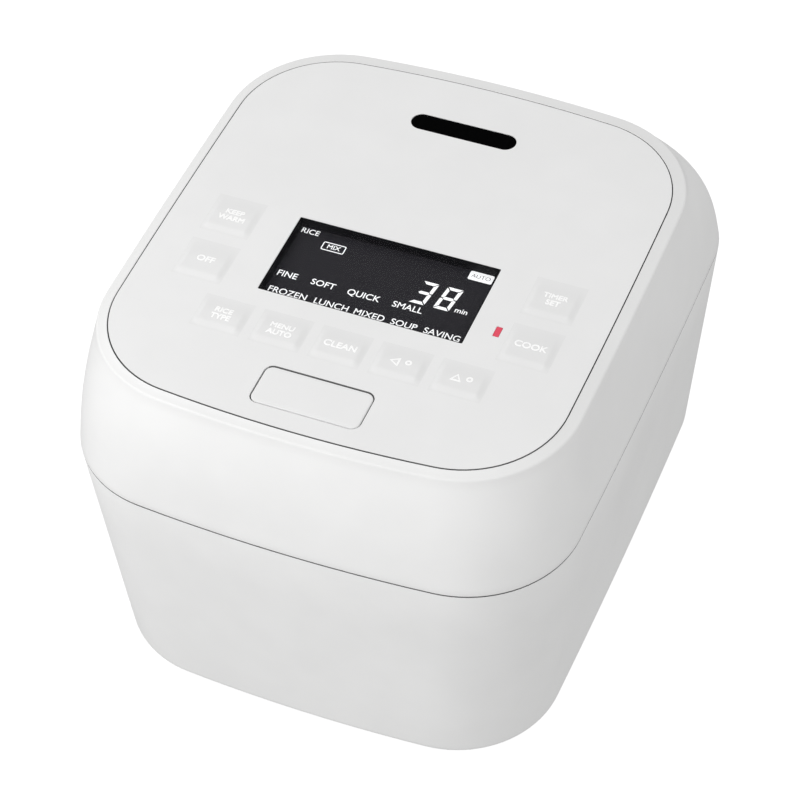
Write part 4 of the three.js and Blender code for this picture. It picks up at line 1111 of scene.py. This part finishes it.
class RICECOOKER_OT_inner_pot(bpy.types.Operator):
    """Builds the coated pot with its rolled rim and level marks"""

    bl_idname = "rice_cooker.inner_pot"
    bl_label = "Inner Pot"

    def execute(self, context):
        low, high = corners("inner_pot")
        rim = (high.x - low.x) / 2
        radius, corner, wall = 98.5, 34.0, 2.2
        profile = [(0, low.z)]
        profile += bend(corner, (radius - corner, low.z + corner), -90, 0)
        profile += [(radius, high.z - 2.4), *bend(0.9, (radius + 0.9, high.z - 2.4), 180, 90, 3)]
        profile += bend(0.75, (rim - 0.75, high.z - 0.75), -90, 90, 6)
        profile += bend(2.4, (radius - wall + 2.4, high.z - 2.4), 90, 180, 5)
        profile += bend(corner - wall, (radius - corner, low.z + corner), 0, -90)
        profile.append((0, low.z + wall))
        bm = bmesh.new()
        lathe(bm, profile)
        piece("cooking_pot", bm, [FINISHES["coated_pot"]], "base", ["inner_pot"])

        marks = bmesh.new()
        inner = radius - wall
        for level in range(1, 6):
            z = low.z + 24 + level * 12
            turn = Matrix.Rotation(math.radians(90), 4, "X")
            long = 9 if level % 2 else 6
            mesh = flat_shape([[(-long / 2, -0.35), (long / 2, -0.35), (long / 2, 0.35), (-long / 2, 0.35)]], -0.05, 0.05)
            add_mesh(marks, mesh, Matrix.Translation((0, 0, z)) @ turn)
            add_mesh(marks, lettering(str(level), 6, 0.1), Matrix.Translation((long / 2 + 4, 0, z)) @ turn)
        for vert in marks.verts:
            depth = vert.co.y
            vert.co.y = POT_Y + math.sqrt(inner**2 - vert.co.x**2) - 0.12 + depth
        bmesh.ops.recalc_face_normals(marks, faces=marks.faces)
        # painted light: the level marks glow a little
        piece("pot_levels", marks, [FINISHES["mark"]], "base")
        return {"FINISHED"}


class RICECOOKER_OT_inner_lid(bpy.types.Operator):
    """Builds the pressed inner lid and the soft seal round it"""

    bl_idname = "rice_cooker.inner_lid"
    bl_label = "Inner Lid"

    def execute(self, context):
        low, high = corners("inner_lid")
        r = (high.x - low.x) / 2
        z, thick = low.z, high.z - 1.0 - low.z
        under = [(0, z), (r - 15, z), (r - 13, z + 0.2), (r - 11, z + 0.8), (r - 9, z + 1), (r, z + 1)]
        top = [(r, z + 2.2), (r - 10, z + 2.2), (r - 14, z + thick), (0, z + thick)]
        bm = bmesh.new()
        lathe(bm, under + top)
        cutters = bmesh.new()
        for x in (-14, 0, 14):
            lathe(cutters, [(0, z - 4), (4, z - 4), (4, z + 8), (0, z + 8)], (x, SLOT_Y - 12), 32)
        piece("inner_lid_plate", carve(bm, cutters), [FINISHES["spun"]], "lid", ["inner_lid"])

        low, high = corners("pot_gasket")
        outer = (high.x - low.x) / 2
        inner = r + 0.4
        profile = [(inner, high.z), (inner, low.z + 0.5), *bend(0.5, (inner + 0.6, low.z + 0.6), 180, 360, 6)]
        profile += [(inner + 2, low.z + 1.5), *bend(0.5, (outer - 0.6, low.z + 1.9), -90, 0, 4), (outer, high.z), (inner, high.z)]
        bm = bmesh.new()
        lathe(bm, profile)
        piece("lid_seal", bm, [FINISHES["silicone"]], "lid", ["pot_gasket"])
        return {"FINISHED"}


# ---- Rear, underside and mechanism --------------------------------------------------------------------------


class RICECOOKER_OT_hinge(bpy.types.Operator):
    """Builds the hinge cover, and rounds the edges of the hinge's other pieces"""

    bl_idname = "rice_cooker.hinge"
    bl_label = "Hinge"

    def execute(self, context):
        low, high = corners("hinge_cover")
        width, height = high.x - low.x, high.z - low.z
        middle = (low.z + high.z) / 2
        bm = bmesh.new()
        face = flat_shape([rounded_rectangle((width, height), 6, (0, 0))], 0, 2.4, 0.9)
        turn = Matrix.Translation((0, high.y, middle)) @ Matrix.Rotation(math.radians(90), 4, "X")
        add_mesh(bm, face, turn)
        for side in (-1, 1):
            verts = cuboid(bm, (1.6, 4.6, height - 13), (side * (width / 2 - 1.4), high.y - 3.4, middle))
            edges = list({e for v in verts for e in v.link_edges})
            bmesh.ops.bevel(bm, geom=edges, offset=0.4, segments=2, profile=0.5, affect="EDGES", material=-1)
        bmesh.ops.remove_doubles(bm, verts=bm.verts, dist=1e-4)
        bmesh.ops.recalc_face_normals(bm, faces=bm.faces)
        piece("hinge_hood", bm, [FINISHES["white_shell"]], "base", ["hinge_cover"])

        refined("hinge_seat", "hinge_bracket", FINISHES["grey_plastic"], "base")
        refined("hinge_lever", "hinge_arm", FINISHES["grey_plastic"], "lid")
        return {"FINISHED"}


def coil(name, node, body, wire, turns, place, deck=False):
    """A wire spring in place of a CAD node; `place` gives its point at an angle and a share of its length."""
    curve = bpy.data.curves.new("coil", "CURVE")
    curve.dimensions = "3D"
    curve.bevel_depth = wire
    curve.bevel_resolution = 3
    curve.use_fill_caps = True
    spline = curve.splines.new("POLY")
    count = turns * 24
    spline.points.add(count)
    for i, point in enumerate(spline.points):
        point.co = (*place(2 * math.pi * turns * i / count, i / count), 1)
    obj = bpy.data.objects.new("coil", curve)
    bpy.context.collection.objects.link(obj)
    bm = bmesh.new()
    add_mesh(bm, mesh_of(obj))
    bmesh.ops.recalc_face_normals(bm, faces=bm.faces)
    return piece(name, bm, [FINISHES["steel"]], body, [node], deck=deck)


class RICECOOKER_OT_springs(bpy.types.Operator):
    """Winds the hinge's, the button's and the sensor's springs"""

    bl_idname = "rice_cooker.springs"
    bl_label = "Springs"

    def execute(self, context):
        low, high = corners("hinge_spring")
        start, length = low.x + 0.6, high.x - low.x - 1.2

        def across(angle, share):
            return start + length * share, HINGE_Y + 3.6 * math.cos(angle), HINGE_Z + 3.6 * math.sin(angle)

        coil("hinge_coil", "hinge_spring", "base", 0.55, 6, across)

        def upright(radius, centre, foot, top):
            def place(angle, share):
                x, y = centre
                return x + radius * math.cos(angle), y + radius * math.sin(angle), foot + (top - foot) * share

            return place

        y = BUTTON_Y - 4
        foot = SEAM_Z + 20.5 - panel_height(y)
        spring = coil("button_coil", "button_spring", "lid", 0.45, 5, upright(3.5, (16, y), foot, -6.9), deck=True)
        anchor = DECK @ Vector((16, y, foot - 0.45))
        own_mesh(spring)

        low, high = corners("sensor_spring")
        place = upright(8.4, (0, POT_Y), low.z + 0.5, high.z - 0.5)
        spring = coil("sensor_coil", "sensor_spring", "base", 0.45, 3, place)
        anchor = Vector((0, POT_Y, low.z)) * MM
        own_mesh(spring)
        return {"FINISHED"}


class RICECOOKER_OT_feet(bpy.types.Operator):
    """Builds the rubber feet, the base screws and the lid screws"""

    bl_idname = "rice_cooker.feet"
    bl_label = "Feet And Screws"

    def execute(self, context):
        for i in range(1, 5):
            low, high = corners(f"foot_{i}")
            centre = ((low.x + high.x) / 2, (low.y + high.y) / 2)
            r = (high.x - low.x) / 2
            profile = [(0, 0.5), (r - 5, 0.5), (r - 4.6, 0.1), (r - 4.2, 0), (r - 1, 0), *bend(0.9, (r - 0.9, 0.9), -90, 0, 4)]
            profile += [(r, 2.8), (r - 0.4, 3.2), (2.5, 3.2), (2.5, 6), (0, 6)]
            bm = bmesh.new()
            lathe(bm, profile, centre, 40)
            piece(f"rubber_foot_{i}", bm, [FINISHES["rubber_foot"]], "base", [f"foot_{i}"])
        screws = [(f"base_screw_{i}", "base") for i in range(1, 5)] + [(f"lid_screw_{i}", "lid") for i in (1, 2)]
        for node, body in screws:
            low, high = corners(node)
            centre = ((low.x + high.x) / 2, (low.y + high.y) / 2)
            z = low.z
            profile = [(0, z + 0.1), (1.4, z), (2.8, z + 0.25), (3.5, z + 1.0), (3.5, z + 2), (1.6, z + 2), (1.6, high.z - 1.5), (0, high.z)]
            bm = bmesh.new()
            lathe(bm, profile, centre, 28)
            for size in ((4.0, 0.9, 2.2), (0.9, 4.0, 2.2)):
                arm = bmesh.new()
                cuboid(arm, size, (*centre, z + 0.1))
                bm = carve(bm, arm)
            piece(f"{node}_steel", bm, [FINISHES["steel"]], body, [node])
        return {"FINISHED"}


REFINED = (
    ("mouth_deck", "deck_ring", "grey_plastic", "base"),
    ("bottom_cover", "base_plate", "grey_plastic", "base"),
    ("lid_underside", "lid_base", "grey_plastic", "lid"),
    ("mains_socket", "power_inlet", "black_plastic", "base"),
    ("fan_housing", "fan_frame", "black_plastic", "base"),
    ("fan_wheel", "fan_rotor", "black_plastic", "fan"),
    ("catch_plate", "latch_catch", "steel", "base"),
    ("latch_lever", "latch_hook", "steel", "latch"),
    ("cooling_fins", "heatsink", "aluminium", "base"),
    ("sensor_button", "pot_sensor", "aluminium", "sensor"),
    ("cook_light", "cook_indicator", "red_lens", "lid"),
)


class RICECOOKER_OT_works(bpy.types.Operator):
    """Rounds the smaller mouldings and metal pieces, and gives every other piece its finish"""

    bl_idname = "rice_cooker.works"
    bl_label = "Works"

    def execute(self, context):
        for name, node, slot, body in REFINED:
            width = 0.12 if node == "cook_indicator" else 0.3
            refined(name, node, FINISHES[slot], body, width)
        slots = {entry["node"]: entry["material_slot"] for entry in frame["record"]["subparts"]}
        special = {"display_glass": "window", "white_panel": "white_panel"}
        for node, obj in frame["nodes"].items():
            if obj.hide_render:
                continue
            finish = FINISHES[special.get(slots[node], slots[node])]
            if not obj.data.materials:
                obj.data.materials.append(finish)
            for material_slot in obj.material_slots:
                material_slot.material = finish
        return {"FINISHED"}


# ---- Stage ------------------------------------------------------------------------------------------------


class RiceCookerStage(bpy.types.PropertyGroup):
    """Where the camera stands and how strong the light is."""

    azimuth: FloatProperty(name="Azimuth", description="Camera's turn about the cooker", default=math.radians(23.33), subtype="ANGLE")
    elevation: FloatProperty(name="Elevation", description="Camera's height above the horizon", default=math.radians(45.83), subtype="ANGLE")
    roll: FloatProperty(name="Roll", description="Camera's turn about its own axis", default=math.radians(-1.58), subtype="ANGLE")
    distance: FloatProperty(name="Distance", description="Camera to the point it looks at", default=1.32597, unit="LENGTH")
    lens: FloatProperty(name="Lens", description="Focal length in millimetres", default=124.6, min=20, max=300)
    sky: FloatProperty(name="Sky", description="Strength of the even light from above", default=0.765, min=0, max=3)
    sky_below: FloatProperty(name="Below", description="Strength of the light from below", default=0.49, min=0, max=3)


class RICECOOKER_OT_stage(bpy.types.Operator):
    """Builds the pale floor, the soft lights and the camera"""

    bl_idname = "rice_cooker.stage"
    bl_label = "Stage"

    def execute(self, context):
        scene = context.scene
        stage = scene.rice_cooker_stage
        bm = bmesh.new()
        bmesh.ops.create_grid(bm, x_segments=1, y_segments=1, size=9, matrix=Matrix.Translation((0, 0, -0.0004)))
        mesh = bpy.data.meshes.new("floor")
        bm.to_mesh(mesh)
        bm.free()
        mesh.materials.append(FINISHES["floor"])
        floor = bpy.data.objects.new("floor", mesh)
        context.collection.objects.link(floor)
        floor.visible_diffuse = False  # the sky's lower half lights the walls instead
        floor.visible_glossy = False

        world = bpy.data.worlds.new("studio")
        world.use_nodes = True
        nodes, links = world.node_tree.nodes, world.node_tree.links
        background = nodes["Background"]
        background.inputs["Color"].default_value = (1, 1, 1, 1)
        direction = nodes.new("ShaderNodeTexCoord")
        split = nodes.new("ShaderNodeSeparateXYZ")
        links.new(direction.outputs["Generated"], split.inputs[0])
        shade_down = nodes.new("ShaderNodeMapRange")
        shade_down.interpolation_type = "SMOOTHSTEP"
        for key, value in (("From Min", -0.6), ("From Max", 0.4), ("To Min", stage.sky_below), ("To Max", stage.sky)):
            shade_down.inputs[key].default_value = value
        links.new(split.outputs["Z"], shade_down.inputs["Value"])
        links.new(shade_down.outputs[0], background.inputs["Strength"])
        scene.world = world
        scene.view_settings.view_transform = "Standard"

        lights = (
            ("key_light", (-0.5, -0.55, 0.75), 0.5, 1.9),
            ("front_fill", (-0.6, -1.4, 0.35), 0.8, 3.9),
            ("right_fill", (1.6, -0.4, 0.3), 0.8, 1.6),
        )
        for name, place, size, power in lights:
            data = bpy.data.lights.new(name, "AREA")
            data.shape = "DISK"
            data.size = size
            data.energy = power
            light = bpy.data.objects.new(name, data)
            light.location = place
            light.rotation_euler = (Vector((0, 0, 0.1)) - Vector(place)).to_track_quat("-Z", "Y").to_euler()
            context.collection.objects.link(light)

        camera = bpy.data.objects.new("camera", bpy.data.cameras.new("camera"))
        camera.data.lens = stage.lens
        camera.data.sensor_width = 36
        camera.data.clip_end = 30
        a, e = stage.azimuth, stage.elevation
        back = Vector((math.sin(a) * math.cos(e), -math.cos(a) * math.cos(e), math.sin(e)))
        target = Vector((-1.96, -9.85, 92.24)) * MM
        turn = back.to_track_quat("Z", "Y").to_matrix().to_4x4() @ Matrix.Rotation(stage.roll, 4, "Z")
        camera.matrix_world = Matrix.Translation(target + back * stage.distance) @ turn
        context.collection.objects.link(camera)
        scene.camera = camera
        return {"FINISHED"}


class RICECOOKER_OT_finishes(bpy.types.Operator):
    """Makes the finishes that all pieces share"""

    bl_idname = "rice_cooker.finishes"
    bl_label = "Finishes"

    def execute(self, context):
        make_finishes(settings_of(context))
        return {"FINISHED"}


# ---- Panel and registration ---------------------------------------------------------------------------------

OPERATORS = (
    RICECOOKER_OT_finishes,
    RICECOOKER_OT_stage,
    RICECOOKER_OT_body_casing,
    RICECOOKER_OT_lid_casing,
    RICECOOKER_OT_control_panel,
    RICECOOKER_OT_keys,
    RICECOOKER_OT_open_button,
    RICECOOKER_OT_display,
    RICECOOKER_OT_steam_outlet,
    RICECOOKER_OT_inner_pot,
    RICECOOKER_OT_inner_lid,
    RICECOOKER_OT_hinge,
    RICECOOKER_OT_springs,
    RICECOOKER_OT_feet,
    RICECOOKER_OT_works,
)


class RICECOOKER_PT_build(bpy.types.Panel):
    """Lists the settings and the steps of the build"""

    bl_idname = "RICECOOKER_PT_build"
    bl_label = "Rice Cooker"
    bl_space_type = "VIEW_3D"
    bl_region_type = "UI"
    bl_category = "Rice Cooker"

    def draw(self, context):
        layout = self.layout
        for group in (context.scene.rice_cooker, context.scene.rice_cooker_stage):
            column = layout.column(align=True)
            for key in group.__annotations__:
                column.prop(group, key)
        column = layout.column(align=True)
        for operator in OPERATORS:
            column.operator(operator.bl_idname)


CLASSES = (RiceCookerSettings, RiceCookerStage, *OPERATORS, RICECOOKER_PT_build)


def register():
    for cls in CLASSES:
        bpy.utils.register_class(cls)
    bpy.types.Scene.rice_cooker = PointerProperty(type=RiceCookerSettings)
    bpy.types.Scene.rice_cooker_stage = PointerProperty(type=RiceCookerStage)


def unregister():
    del bpy.types.Scene.rice_cooker_stage
    del bpy.types.Scene.rice_cooker
    for cls in reversed(CLASSES):
        bpy.utils.unregister_class(cls)


def main():
    register()
    for operator in OPERATORS:
        group, name = operator.bl_idname.split(".")
        getattr(getattr(bpy.ops, group), name)()


if __name__ == "__main__":
    main()
